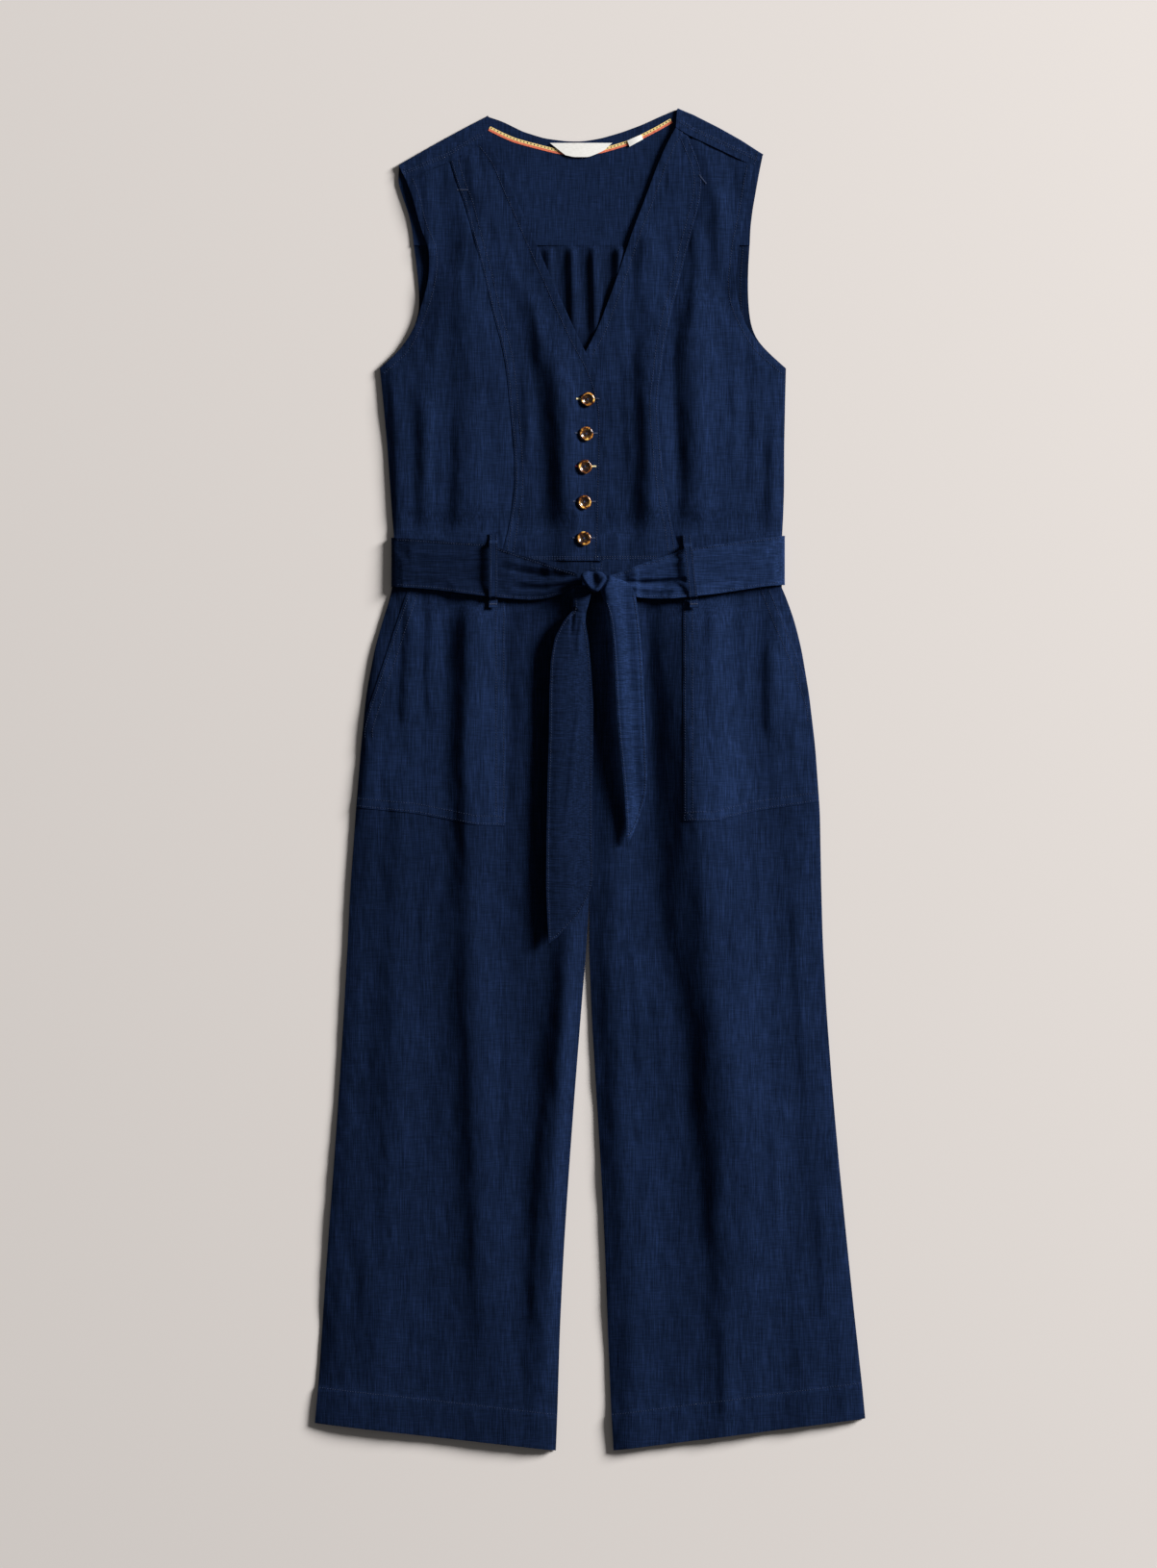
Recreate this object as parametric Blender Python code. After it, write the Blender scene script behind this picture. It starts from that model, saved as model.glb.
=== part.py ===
"""A sleeveless linen jumpsuit with a tie belt, laid out flat on its back.

X runs towards the wearer's left, Y towards the neck and Z up from the surface it lies on.
The origin is the middle of its outline, on that surface. Every size below is in millimetres.

Each cut piece of cloth is one closed wall. Its seams run through short tables with a row for
each section across the garment, and its height over the surface is worked out from the layers
under it, the loft of the cloth and its largest folds.
"""

import math
from collections import namedtuple

import bmesh
import bpy
from mathutils import Vector

MM = 0.001

# Cloth and clearances
CLOTH = 1.2
HEM_CLOTH = 1.8
BELT_CLOTH = 1.8
SEAM = 0.3
LAYER = CLOTH + SEAM
BELT_LAYER = BELT_CLOTH + SEAM

# Heights along the body
WAIST = 231.5
YOKE_SEAM = 567.0
ARMHOLE_LOW = 498.0
CROTCH = -125.0
INSIDE_LEG_EASE = 40.0
BELT_TOP = 259.0
BELT_BOTTOM = 203.0
BELT_RAMP = 7.0

# How the cloth stands up between its edges
LOFT = 3.0
ROLL = 15.0
SHOULDER_ROLL = 20.0
BELT_PRESS = 0.55
BELT_PRESS_REACH = 30.0
BELT_PRESS_EASE = 25.0

# The front closing
OVERLAP_EDGE = -28.0
OVERLAP_RAMP = 12.0
UNDERLAP_EDGE = 27.0
UNDERLAP_DROP = 1.0
PLACKET_CLEARANCE = 4.0
BUTTON_RADIUS = 7.5
BUTTON_HEIGHT = 3.2
BUTTON_SIDES = 20

# The shoulder fold, where the yoke comes over to the front
FOLD_GAP = 1.0
FOLD_STEPS = 4
STRAP_STEPS = 2
YOKE_ROWS = 5

# The gathers under the back yoke
GATHER_PITCH = 12.2
GATHER_RISE = 1.6
GATHER_MIDDLE = -3.5
GATHER_REACH = 42.0
GATHER_LENGTH = 120.0
GATHER_COLUMNS = 28
GATHER_FROM = 0.36
GATHER_TO = 0.60
BACK_SIDE_COLUMNS = 3

# Trim
TAPE_CLOTH = 0.8
LOOP_CLOTH = 1.2
LABEL_CLOTH = 0.8

# How far round itself each piece on the front looks for the cloth it has to clear
BELT_REACH = 13.0
TAIL_REACH_X = 6.0
TAIL_REACH_Y = 9.0
LOOP_REACH_X = 8.0
LOOP_REACH_Y = 6.0

# Columns of points across each piece of cloth
FRONT_COLUMNS = 13
LEG_COLUMNS = 27
LEG_BACK_COLUMNS = 4
BELT_COLUMNS = 4
BELT_BACK_COLUMNS = 6
TAIL_COLUMNS = 5
CUT_SNAP = 0.4

SHARP = math.radians(40)
NAVY = (0.013, 0.022, 0.052, 1.0)
NAVY_LIGHT = (0.018, 0.030, 0.066, 1.0)
HORN = (0.20, 0.085, 0.025, 1.0)
CREAM = (0.78, 0.66, 0.42, 1.0)
WHITE = (0.82, 0.81, 0.78, 1.0)

# Sections across one half of the bodice front, from the shoulder to the waist. The side is the
# armhole and then the side seam, and the edge is the neckline and then the buttoned edge.
Half = namedtuple("Half", "side_x side_y seam_x seam_y edge_x edge_y")
BODICE_RIGHT = (
    Half(-195, 635, -148, 655, -111, 677),
    Half(-188, 617, -142, 634, -96, 657),
    Half(-180, 586, -133, 611, -83, 627),
    Half(-170, 559, -123, 573, -68, 593),
    Half(-171, 530, -112, 532, -47, 545),
    Half(-180, 498, -104, 498, -26, 498),
    Half(-186, 480, -99, 480, -18, 480),
    Half(-194, 466, -95, 466, -11, 466),
    Half(-204, 453, -92, 453, -5, 453),
    Half(-223, 436, -89, 436, 5, 436),
    Half(-219, 396, -85, 396, 18, 396),
    Half(-215, 352, -81, 352, 18, 352),
    Half(-212, 309, -80, 309, 17, 309),
    Half(-210.5, 288, -83, 288, 16.5, 288),
    Half(-209, 266, -86, 266, 16, 266),
    Half(-207.5, 259, -88, 259, 16, 259),
    Half(-207.5, 231.65, -96, 231.65, 14, 231.65),
)
BODICE_LEFT = (
    Half(174, 650, 104, 683, 91, 691),
    Half(171, 636, 118, 647, 81, 673),
    Half(168, 622, 118, 618, 71, 650),
    Half(164, 596, 112, 594, 59, 617),
    Half(158, 566, 102, 557, 45, 581),
    Half(154, 525, 93, 520, 28, 530),
    Half(159, 498, 87, 498, 16, 498),
    Half(166, 480, 84, 480, 9, 480),
    Half(176, 466, 80, 466, 2, 466),
    Half(188, 453, 78, 453, -5, 453),
    Half(207.5, 436, 76, 436, -14, 436),
    Half(207, 396, 72, 396, -26, 396),
    Half(206, 352, 75, 352, -26, 352),
    Half(206, 309, 80, 309, -26, 309),
    Half(205.3, 288, 84, 288, -26, 288),
    Half(204.5, 266, 88, 266, -26, 266),
    Half(203.5, 259, 90, 259, -26, 259),
    Half(203.5, 231.65, 100, 231.65, -26, 231.65),
)

# Sections across the back under the yoke, armhole and then side seam on each side
Back = namedtuple("Back", "y right left")
BACK = (
    Back(566.85, -187, 169.5),
    Back(545, -184, 168),
    Back(520, -181.5, 167.5),
    Back(498, -181, 168.5),
    Back(480, -186, 171),
    Back(466, -194, 177),
    Back(453, -204, 189),
    Back(436, -223, 208),
    Back(396, -219, 207),
    Back(352, -215, 206),
    Back(309, -212, 206),
    Back(288, -210.5, 205.3),
    Back(266, -209, 204.5),
    Back(259, -207.5, 203.5),
    Back(231.65, -207.5, 203.5),
)

# The yoke's armholes, from its seam up to the shoulder fold
Point = namedtuple("Point", "x y")
YOKE_RIGHT = (
    Point(-187, 567.15),
    Point(-189, 582),
    Point(-193, 602),
    Point(-199, 621),
    Point(-204.5, 639),
    Point(-203.5, 652),
)
YOKE_LEFT = (
    Point(169.5, 567.15),
    Point(170.5, 586),
    Point(173, 606),
    Point(176.5, 626),
    Point(180, 645),
    Point(184, 663),
)

# The yoke's upper edge: each shoulder fold, its point on the forward seam, and the neckline
Strap = namedtuple("Strap", "fold_x fold_y seam_x seam_y")
STRAP_RIGHT = (
    Strap(-203.5, 652, -195, 635),
    Strap(-180, 665.5, -171.5, 645),
    Strap(-156, 679, -148, 655),
    Strap(-132, 692, -129.5, 666),
    Strap(-108.6, 704.3, -111, 677),
)
STRAP_LEFT = (
    Strap(93.3, 712, 91, 691),
    Strap(110, 705, 104, 683),
    Strap(135, 692.5, 127.3, 672),
    Strap(160, 678.5, 150.7, 661),
    Strap(184, 663, 174, 650),
)
NECKLINE = (
    Point(-93, 698),
    Point(-71, 687),
    Point(-48.5, 680),
    Point(-26, 677),
    Point(-9, 676.5),
    Point(12, 680),
    Point(34, 686.5),
    Point(57, 695),
    Point(75, 703.5),
)

# Sections across one trouser leg, from the waist to the hem. The inner side is the middle seam
# down to the crotch and the inside leg seam below it.
Leg = namedtuple("Leg", "side_x side_y inner_x inner_y cloth")
LEG_RIGHT = (
    Leg(-207.5, 231.35, -0.65, 231.35, CLOTH),
    Leg(-207.5, 203, -0.65, 203, CLOTH),
    Leg(-210.5, 196, -0.65, 196, CLOTH),
    Leg(-215.5, 182, -0.65, 182, CLOTH),
    Leg(-220, 168, -0.65, 168, CLOTH),
    Leg(-228.5, 138, -0.65, 138, CLOTH),
    Leg(-237.5, 90, -0.65, 90, CLOTH),
    Leg(-243, 35, -0.65, 35, CLOTH),
    Leg(-248.5, -35, -0.65, -40, CLOTH),
    Leg(-254.5, -118, -0.65, -125, CLOTH),
    Leg(-257, -172, -4, -180, CLOTH),
    Leg(-261, -245, -10, -254, CLOTH),
    Leg(-266, -325, -16.5, -336, CLOTH),
    Leg(-271.5, -405, -22.5, -418, CLOTH),
    Leg(-277.5, -485, -28, -501, CLOTH),
    Leg(-283, -563, -32, -584, CLOTH),
    Leg(-288.2, -643, -34.5, -669, CLOTH),
    Leg(-288.5, -646, -34.6, -672, HEM_CLOTH),
    Leg(-292, -683, -36.2, -712, HEM_CLOTH),
)
LEG_LEFT = (
    Leg(203.5, 231.35, -0.35, 231.35, CLOTH),
    Leg(203.5, 203, -0.35, 203, CLOTH),
    Leg(207, 196, -0.35, 196, CLOTH),
    Leg(212, 182, -0.35, 182, CLOTH),
    Leg(217, 168, -0.35, 168, CLOTH),
    Leg(224.5, 138, -0.35, 138, CLOTH),
    Leg(232.5, 90, -0.35, 90, CLOTH),
    Leg(239, 35, -0.35, 35, CLOTH),
    Leg(244, -35, -0.35, -40, CLOTH),
    Leg(245.5, -118, -0.35, -125, CLOTH),
    Leg(247, -172, -1, -180, CLOTH),
    Leg(251, -245, 2, -254, CLOTH),
    Leg(257, -325, 7, -336, CLOTH),
    Leg(264, -405, 12, -418, CLOTH),
    Leg(272, -485, 16, -501, CLOTH),
    Leg(280, -563, 19, -584, CLOTH),
    Leg(288.2, -638, 22.5, -669, CLOTH),
    Leg(288.5, -641, 22.6, -672, HEM_CLOTH),
    Leg(292, -678, 25, -712, HEM_CLOTH),
)

# The largest folds. Each is a ridge that runs down the cloth through its rows. It stands this
# high over the cloth beside it and falls away over these widths to its right and left.
Ridge = namedtuple("Ridge", "x y rise right left")
FOLDS = {
    "right side": (
        Ridge(-176, 446, 0, 9, 22),
        Ridge(-176, 400, 4, 9, 22),
        Ridge(-176, 275, 4, 9, 22),
        Ridge(-176, 215, 0, 9, 22),
    ),
    "right shoulder": (
        Ridge(-117, 662, 0, 14, 24),
        Ridge(-116, 609, 3, 14, 24),
        Ridge(-138, 528, 4, 20, 30),
        Ridge(-132, 418, 4, 22, 30),
        Ridge(-134, 275, 4, 22, 34),
        Ridge(-134, 215, 0, 22, 34),
    ),
    "right bust": (
        Ridge(-76, 530, 0, 12, 30),
        Ridge(-55, 478, 4, 13, 36),
        Ridge(-38, 409, 6, 14, 40),
        Ridge(-31, 339, 6.5, 14, 36),
        Ridge(-29, 255, 5, 14, 36),
        Ridge(-29, 205, 0, 14, 36),
    ),
    "left bust": (
        Ridge(56, 522, 0, 12, 40),
        Ridge(59, 479, 3, 13, 40),
        Ridge(58, 434, 6, 13, 42),
        Ridge(61, 339, 7, 12, 44),
        Ridge(61, 255, 6, 12, 40),
        Ridge(60, 205, 0, 12, 40),
    ),
    "left princess": (
        Ridge(106, 532, 0, 10, 50),
        Ridge(105, 505, 4, 10, 55),
        Ridge(101, 444, 7, 10, 60),
        Ridge(108, 356, 7, 10, 60),
        Ridge(108, 268, 4, 12, 60),
        Ridge(105, 214, 0, 12, 60),
    ),
    "left side": (
        Ridge(193, 400, 0, 8, 14),
        Ridge(194, 362, 3, 8, 14),
        Ridge(195, 258, 3, 8, 14),
        Ridge(195, 215, 0, 8, 14),
    ),
    "left armhole": (
        Ridge(120, 675, 0, 12, 22),
        Ridge(129, 632, 3, 12, 22),
        Ridge(150, 549, 3, 12, 22),
        Ridge(168, 490, 2, 12, 22),
        Ridge(180, 440, 0, 12, 22),
    ),
    "right thigh": (
        Ridge(-128, 212, 0, 18, 45),
        Ridge(-130, 173, 6.5, 18, 46),
        Ridge(-136, 71, 6, 20, 50),
        Ridge(-131, -97, 6, 22, 52),
        Ridge(-130, -219, 6, 22, 52),
        Ridge(-123, -342, 6, 22, 50),
        Ridge(-117, -464, 5, 22, 46),
        Ridge(-113, -587, 3.5, 22, 44),
        Ridge(-111, -712, 1.5, 22, 44),
    ),
    "right inside leg": (
        Ridge(-24, 212, 0, 16, 22),
        Ridge(-24, 153, 5, 16, 22),
        Ridge(-25, -179, 6.5, 16, 24),
        Ridge(-32, -225, 7, 17, 24),
        Ridge(-39, -342, 7, 18, 24),
        Ridge(-46, -464, 5.5, 20, 24),
        Ridge(-50, -587, 3, 22, 24),
        Ridge(-53, -712, 1, 22, 24),
    ),
    "right outside leg": (
        Ridge(-203, 30, 0, 20, 40),
        Ridge(-200, -71, 2.5, 20, 40),
        Ridge(-209, -219, 3, 22, 44),
        Ridge(-216, -342, 3.5, 24, 46),
        Ridge(-221, -464, 3, 26, 48),
        Ridge(-231, -587, 2, 26, 48),
        Ridge(-238, -712, 0.5, 26, 48),
    ),
    "left thigh": (
        Ridge(100, 212, 0, 26, 70),
        Ridge(103, 173, 7, 28, 74),
        Ridge(106, 71, 10, 30, 80),
        Ridge(111, -10, 11, 30, 84),
        Ridge(117, -97, 11, 31, 86),
        Ridge(127, -219, 10.5, 32, 86),
        Ridge(137, -342, 9.5, 32, 84),
        Ridge(145, -464, 7, 32, 80),
        Ridge(147, -587, 4, 34, 78),
        Ridge(149, -712, 1.5, 34, 78),
    ),
    "left inside leg": (
        Ridge(17, 212, 0, 12, 30),
        Ridge(20, 140, 2.5, 14, 30),
        Ridge(19, -97, 3, 14, 34),
        Ridge(20, -219, 3, 14, 36),
        Ridge(29, -342, 3, 16, 36),
        Ridge(36, -464, 3, 16, 36),
        Ridge(43, -602, 2, 18, 36),
        Ridge(46, -712, 1, 18, 36),
    ),
    "left pocket mouth": (
        Ridge(196, 206, 0, 9, 25),
        Ridge(195, 163, 3, 9, 25),
        Ridge(194, 71, 3.5, 9, 25),
        Ridge(196, 8, 0, 9, 25),
    ),
}

# Patch pockets: the points of their outline, in order round the patch, waist first
POCKET_RIGHT = (
    Point(-89.5, 231.35),
    Point(-89.5, -49.5),
    Point(-123, -48.5),
    Point(-185, -36),
    Point(-250, -30),
    Point(-241.5, 44),
    Point(-239.5, 62),
    Point(-194, 199),
    Point(-183, 231.35),
)
POCKET_LEFT = (
    Point(98.5, 231.35),
    Point(98.5, -44.5),
    Point(132, -44.5),
    Point(174, -34),
    Point(250, -23),
    Point(240, 80),
    Point(227, 118),
    Point(207, 166),
    Point(193.5, 200),
    Point(181, 231.35),
)

# The front stretches of the belt, from the side of the waist to the knot
Band = namedtuple("Band", "x top bottom lift")
BELT_RIGHT = (
    Band(-207.5, 256, 204, 0),
    Band(-190, 255, 203, 0),
    Band(-165, 253.5, 201, 0),
    Band(-138, 251.5, 197.5, 0),
    Band(-110, 249.5, 194, 0),
    Band(-85, 241.5, 191.5, 0.3),
    Band(-62, 234, 190, 0.8),
    Band(-44, 228, 192, 1.5),
    Band(-28, 222.5, 197, 2.2),
    Band(-16, 219, 202, 2.5),
    Band(-8, 216, 206, 2.5),
)
BELT_LEFT = (
    Band(203.5, 258, 206, 0),
    Band(186, 256, 204.5, 0),
    Band(160, 252.5, 200.5, 0),
    Band(134, 249, 196.5, 0),
    Band(110, 245.5, 194, 0),
    Band(88, 239, 191.5, 0.3),
    Band(68, 232.5, 191.5, 0.8),
    Band(52, 227, 192.5, 1.5),
    Band(38, 221.5, 195.5, 2.2),
    Band(26, 217, 200, 2.5),
    Band(10, 214, 203, 2.5),
)
BELT_STEPS = 2
BELT_UNDER = 30.0
BELT_TURN_STEPS = 4

# The two free ends of the belt, from the knot to the point
Tail = namedtuple("Tail", "right_x right_y left_x left_y lift arch")
TAIL_LONG = (
    Tail(-15, 206, 2, 205, 5.0, 0.5),
    Tail(-17.5, 192, 0.5, 192, 5.5, 1.5),
    Tail(-17.5, 179, -4, 177, 5.0, 2.0),
    Tail(-27, 169, -5, 166, 4.5, 2.2),
    Tail(-37, 150, -1.5, 146, 4.0, 2.2),
    Tail(-41.5, 125, 1, 120, 3.8, 2.0),
    Tail(-43, 90, 3.5, 82, 3.5, 2.0),
    Tail(-43.5, 45, 3.5, 34, 3.2, 1.8),
    Tail(-45, -5, 3, -16, 3.0, 1.5),
    Tail(-46, -60, 3, -66, 2.6, 1.2),
    Tail(-46.5, -115, 3.6, -110, 2.2, 1.0),
    Tail(-45, -150, -9, -139, 1.6, 0.6),
    Tail(-43.5, -174, -33, -166, 1.0, 0.2),
)
TAIL_SHORT = (
    Tail(13, 217, 34, 211, 5.0, 0.5),
    Tail(11, 207, 43.5, 206, 6.5, 1.5),
    Tail(11, 197, 48, 195, 7.5, 2.5),
    Tail(16, 186, 50, 184, 8.0, 3.0),
    Tail(21.5, 167, 52.5, 163, 8.0, 3.0),
    Tail(25, 130, 55.5, 126, 7.5, 3.0),
    Tail(27.5, 88, 57.5, 84, 7.0, 3.0),
    Tail(30, 50, 59, 45, 6.5, 3.0),
    Tail(34, 10, 60.7, 4, 5.0, 2.4),
    Tail(36.5, -16, 59.7, -18, 3.8, 1.6),
    Tail(38.2, -45, 50, -47, 2.4, 0.8),
    Tail(38.5, -66, 42, -66, 1.4, 0.2),
)

# The knot: a wrap of the belt, wide above and narrow below, over a lump of folded cloth
KNOT_TOP_X = 2.5
KNOT_BOTTOM_X = 5.5
KNOT_Y = 209.0
KNOT_WIDTH = 30.0
KNOT_LENGTH = 23.0
KNOT_HEIGHT = 13.0
KNOT_TAPER = 0.4
KNOT_TAPER_RATE = 1.3
KNOT_ROUNDNESS = 0.4
KNOT_BASE = 7.3
KNOT_GROOVE = 0.3
KNOT_GROOVE_WIDTH = 0.22
KNOT_SEGMENTS = 20
KNOT_RINGS = 12

# Belt loops: their middle at the top and bottom, and their stations down the belt, each as a
# distance from the edge it goes by and whether it is raised over the belt there
Loop = namedtuple("Loop", "top_x bottom_x")
LOOPS = {"right": Loop(-102.0, -102.5), "left": Loop(102.5, 110.5)}
Station = namedtuple("Station", "from_edge y raised")
LOOP_STATIONS = (
    Station(None, 260.5, False),
    Station("top", 3.5, False),
    Station("top", 0.8, True),
    Station("top", -8.0, True),
    Station("middle", 0.0, True),
    Station("bottom", 8.0, True),
    Station("bottom", -0.8, True),
    Station("bottom", -3.5, False),
    Station(None, 182.0, False),
)
LOOP_WIDTH = 9.0
LOOP_LOOKS = (-16, -8, 0, 8, 16)
LOOP_LOOK_REACH = 12.0

# Buttons, and the outline that one is turned from, as shares of its radius and height
BUTTONS = (Point(-2.5, 402.5), Point(-4, 366), Point(-5.5, 331), Point(-6, 293.5), Point(-6.5, 255))
Turn = namedtuple("Turn", "out up")
BUTTON_OUTLINE = (
    Turn(0.0, 0.0),
    Turn(0.78, 0.0),
    Turn(1.0, 0.35),
    Turn(1.0, 0.7),
    Turn(0.86, 1.0),
    Turn(0.68, 0.95),
    Turn(0.52, 0.62),
    Turn(0.0, 0.55),
)

# Neck tape and labels
TAPE = (
    Point(-107, 690.6),
    Point(-93, 683.6),
    Point(-80, 678),
    Point(-65, 673.7),
    Point(-48.5, 669.5),
    Point(-34, 666),
    Point(-11, 663.5),
    Point(13, 667),
    Point(38.5, 674.5),
    Point(55.5, 682),
    Point(72, 690.5),
    Point(86.5, 698.8),
)
TAPE_WIDTH = 5.0
NECK_LABEL = (
    Point(-42.5, 675),
    Point(-26, 662),
    Point(-17, 660),
    Point(-1.5, 660),
    Point(7.5, 663.5),
    Point(15, 667),
    Point(23.5, 675),
)
SIZE_LABEL = (Point(39.5, 677.5), Point(42, 671), Point(56.5, 679), Point(54.5, 684))


def ease(value):
    """Runs smoothly from 0 to 1 as the value does."""
    value = min(max(value, 0.0), 1.0)
    return value * value * (3 - 2 * value)


def mix(start, end, share):
    return start + (end - start) * share


def at_height(rows, y, *columns):
    """The named columns of a table at this height, straight between its rows from top to bottom."""
    key = "y" if "y" in rows[0]._fields else "side_y"
    y = min(max(y, getattr(rows[-1], key)), getattr(rows[0], key))
    for upper, lower in zip(rows, rows[1:]):
        top = getattr(upper, key)
        bottom = getattr(lower, key)
        if y >= bottom:
            break
    share = (top - y) / (top - bottom)
    return [mix(getattr(upper, name), getattr(lower, name), share) for name in columns]


def outline(y):
    """How far the garment reaches to the wearer's right and left at this height."""
    if y > YOKE_SEAM:
        return [at_height(armhole[::-1], y, "x")[0] for armhole in (YOKE_RIGHT, YOKE_LEFT)]
    if y > WAIST:
        return at_height(BACK, y, "right", "left")
    return [at_height(leg, y, "side_x")[0] for leg in (LEG_RIGHT, LEG_LEFT)]


def shoulder_distance(x, y):
    """How far a point lies below the shoulder fold on its side."""
    strap = STRAP_RIGHT if x < 0 else STRAP_LEFT
    start = Vector((strap[0].fold_x, strap[0].fold_y))
    end = Vector((strap[-1].fold_x, strap[-1].fold_y))
    along = (end - start).normalized()
    return -along.cross(Vector((x, y)) - start)


def inside_leg_distance(x, y):
    """How far a point lies from the inside leg seam of its leg, and how much that seam counts."""
    table = LEG_RIGHT if x < 0 else LEG_LEFT
    inner = at_height(table, y, "inner_x")[0]
    return abs(x - inner), ease((CROTCH + INSIDE_LEG_EASE - y) / (2 * INSIDE_LEG_EASE))


def fold_height(x, y):
    """The height of all the folds together at one point."""
    height = 0.0
    for ridge in FOLDS.values():
        if not ridge[0].y >= y >= ridge[-1].y:
            continue
        crest, rise, right, left = at_height(ridge, y, "x", "rise", "right", "left")
        across = (x - crest) / (right if x < crest else left)
        if abs(across) < 1:
            height += rise * (1 + math.cos(math.pi * across)) / 2
    return height


def belt_step(y):
    """1 where the cloth lies over the belt's back stretch, 0 away from it."""
    return ease((BELT_TOP + BELT_RAMP - y) / BELT_RAMP) * ease((y - BELT_BOTTOM + BELT_RAMP) / BELT_RAMP)


def back_under(y):
    """The underside of the back."""
    return BELT_LAYER * belt_step(y)


def front_under(x, y):
    """The underside of the front, over the back, with its loft and folds."""
    right, left = outline(y)
    rise = ease(min(x - right, left - x) / ROLL)
    if y > ARMHOLE_LOW:
        rise *= ease(shoulder_distance(x, y) / SHOULDER_ROLL)
    if y < CROTCH + INSIDE_LEG_EASE:
        distance, count = inside_leg_distance(x, y)
        rise *= mix(1.0, ease(distance / ROLL), count)
    above = ease((BELT_TOP + BELT_PRESS_REACH - y) / BELT_PRESS_EASE)
    below = ease((y - BELT_BOTTOM + BELT_PRESS_REACH) / BELT_PRESS_EASE)
    press = 1 - BELT_PRESS * above * below
    return back_under(y) + LAYER + rise * press * (LOFT + fold_height(x, y))


def overlap_step(x):
    """The right front climbs over the edge of the left front that it is buttoned to."""
    return LAYER * ease((x - OVERLAP_EDGE + OVERLAP_RAMP) / OVERLAP_RAMP)


def underlap_step(x):
    """The left front sinks a little where the right front lies on it."""
    return -UNDERLAP_DROP * ease((UNDERLAP_EDGE - x) / OVERLAP_RAMP)


def no_step(x):
    """The side pieces lie on one layer alone."""
    return 0.0


def inside(points, x, y):
    """Whether a point lies inside an outline."""
    found = False
    for start, end in zip(points, points[1:] + points[:1]):
        if (start.y > y) != (end.y > y):
            crossing = start.x + (end.x - start.x) * (y - start.y) / (end.y - start.y)
            found ^= x < crossing
    return found


def front_top(x, y):
    """The top of whatever layer of the front lies highest at one point."""
    top = front_under(x, y) + CLOTH
    if y > WAIST and x < BODICE_RIGHT[-1].edge_x + PLACKET_CLEARANCE:
        top += overlap_step(x)
    if inside(POCKET_RIGHT, x, y) or inside(POCKET_LEFT, x, y):
        top += LAYER
    return top


def resting(x, y, reach_x, reach_y):
    """How low something may lie on the front and still clear the cloth this far round it."""
    heights = []
    for step_x in (-1, -0.5, 0, 0.5, 1):
        for step_y in (-1, 0, 1):
            heights.append(front_top(x + step_x * reach_x, y + step_y * reach_y))
    return max(heights) + SEAM


def material(name, colour, roughness):
    made = bpy.data.materials.get(name) or bpy.data.materials.new(name)
    made.use_nodes = True
    shader = made.node_tree.nodes["Principled BSDF"]
    shader.inputs["Base Color"].default_value = colour
    shader.inputs["Roughness"].default_value = roughness
    shader.inputs["Metallic"].default_value = 0.0
    made.diffuse_color = colour
    return made


def finish(name, mesh_builder, made_of):
    """Turns a finished bmesh into a named object."""
    bmesh.ops.recalc_face_normals(mesh_builder, faces=mesh_builder.faces)
    bmesh.ops.triangulate(mesh_builder, faces=mesh_builder.faces, quad_method="FIXED")
    mesh = bpy.data.meshes.new(name)
    mesh_builder.to_mesh(mesh)
    mesh_builder.free()
    mesh.shade_smooth()
    mesh.set_sharp_from_angle(angle=SHARP)
    mesh.materials.append(made_of)
    made = bpy.data.objects.new(name, mesh)
    bpy.context.scene.collection.objects.link(made)
    return made


def grid(columns, rows):
    """A flat grid whose points remember how far across and along it they lie, from 0 to 1."""
    made = bmesh.new()
    bmesh.ops.create_grid(made, x_segments=columns, y_segments=rows, size=0.5)
    across = made.verts.layers.float.new("across")
    along = made.verts.layers.float.new("along")
    for vert in made.verts:
        vert[across] = vert.co.x + 0.5
        vert[along] = 0.5 - vert.co.y
    return made


def place(made, verts, where):
    """Moves points of a grid to where their share across and along it puts them."""
    across = made.verts.layers.float["across"]
    along = made.verts.layers.float["along"]
    for vert in verts:
        vert.co = Vector(where(vert[across], vert[along])) * MM


def thicken(made, where):
    """Closes a sheet into a wall, with its second face where the function puts it."""
    copied = bmesh.ops.extrude_face_region(made, geom=made.faces[:])
    verts = [item for item in copied["geom"] if isinstance(item, bmesh.types.BMVert)]
    place(made, verts, where)


def cloth(name, columns, rows, lower, upper, made_of):
    """A wall of cloth between two functions of the share across and along it."""
    made = grid(columns, rows)
    place(made, made.verts, lower)
    thicken(made, upper)
    return finish(name, made, made_of)


def between(rows, share):
    """The two neighbouring rows of a table at this share of its length, and the share between them."""
    place_in = share * (len(rows) - 1)
    index = min(int(place_in + 1e-4), len(rows) - 2)
    return rows[index], rows[index + 1], place_in - index


def section(rows, share, *columns):
    upper, lower, part = between(rows, share)
    return [mix(getattr(upper, name), getattr(lower, name), part) for name in columns]


def bodice_panel(name, rows, first, last, step, made_of):
    """A front piece between two of the seams in a table of sections, first to the wearer's right."""
    names = (first + "_x", first + "_y", last + "_x", last + "_y")

    def spot(across, along):
        right_x, right_y, left_x, left_y = section(rows, along, *names)
        if first == "seam":
            right_x += SEAM / 2
        if last == "seam":
            left_x -= SEAM / 2
        return mix(right_x, left_x, across), mix(right_y, left_y, across)

    def lower(across, along):
        x, y = spot(across, along)
        return x, y, front_under(x, y) + step(x)

    def upper(across, along):
        x, y, z = lower(across, along)
        return x, y, z + CLOTH

    return cloth(name, FRONT_COLUMNS, len(rows) - 1, lower, upper, made_of)


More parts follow.
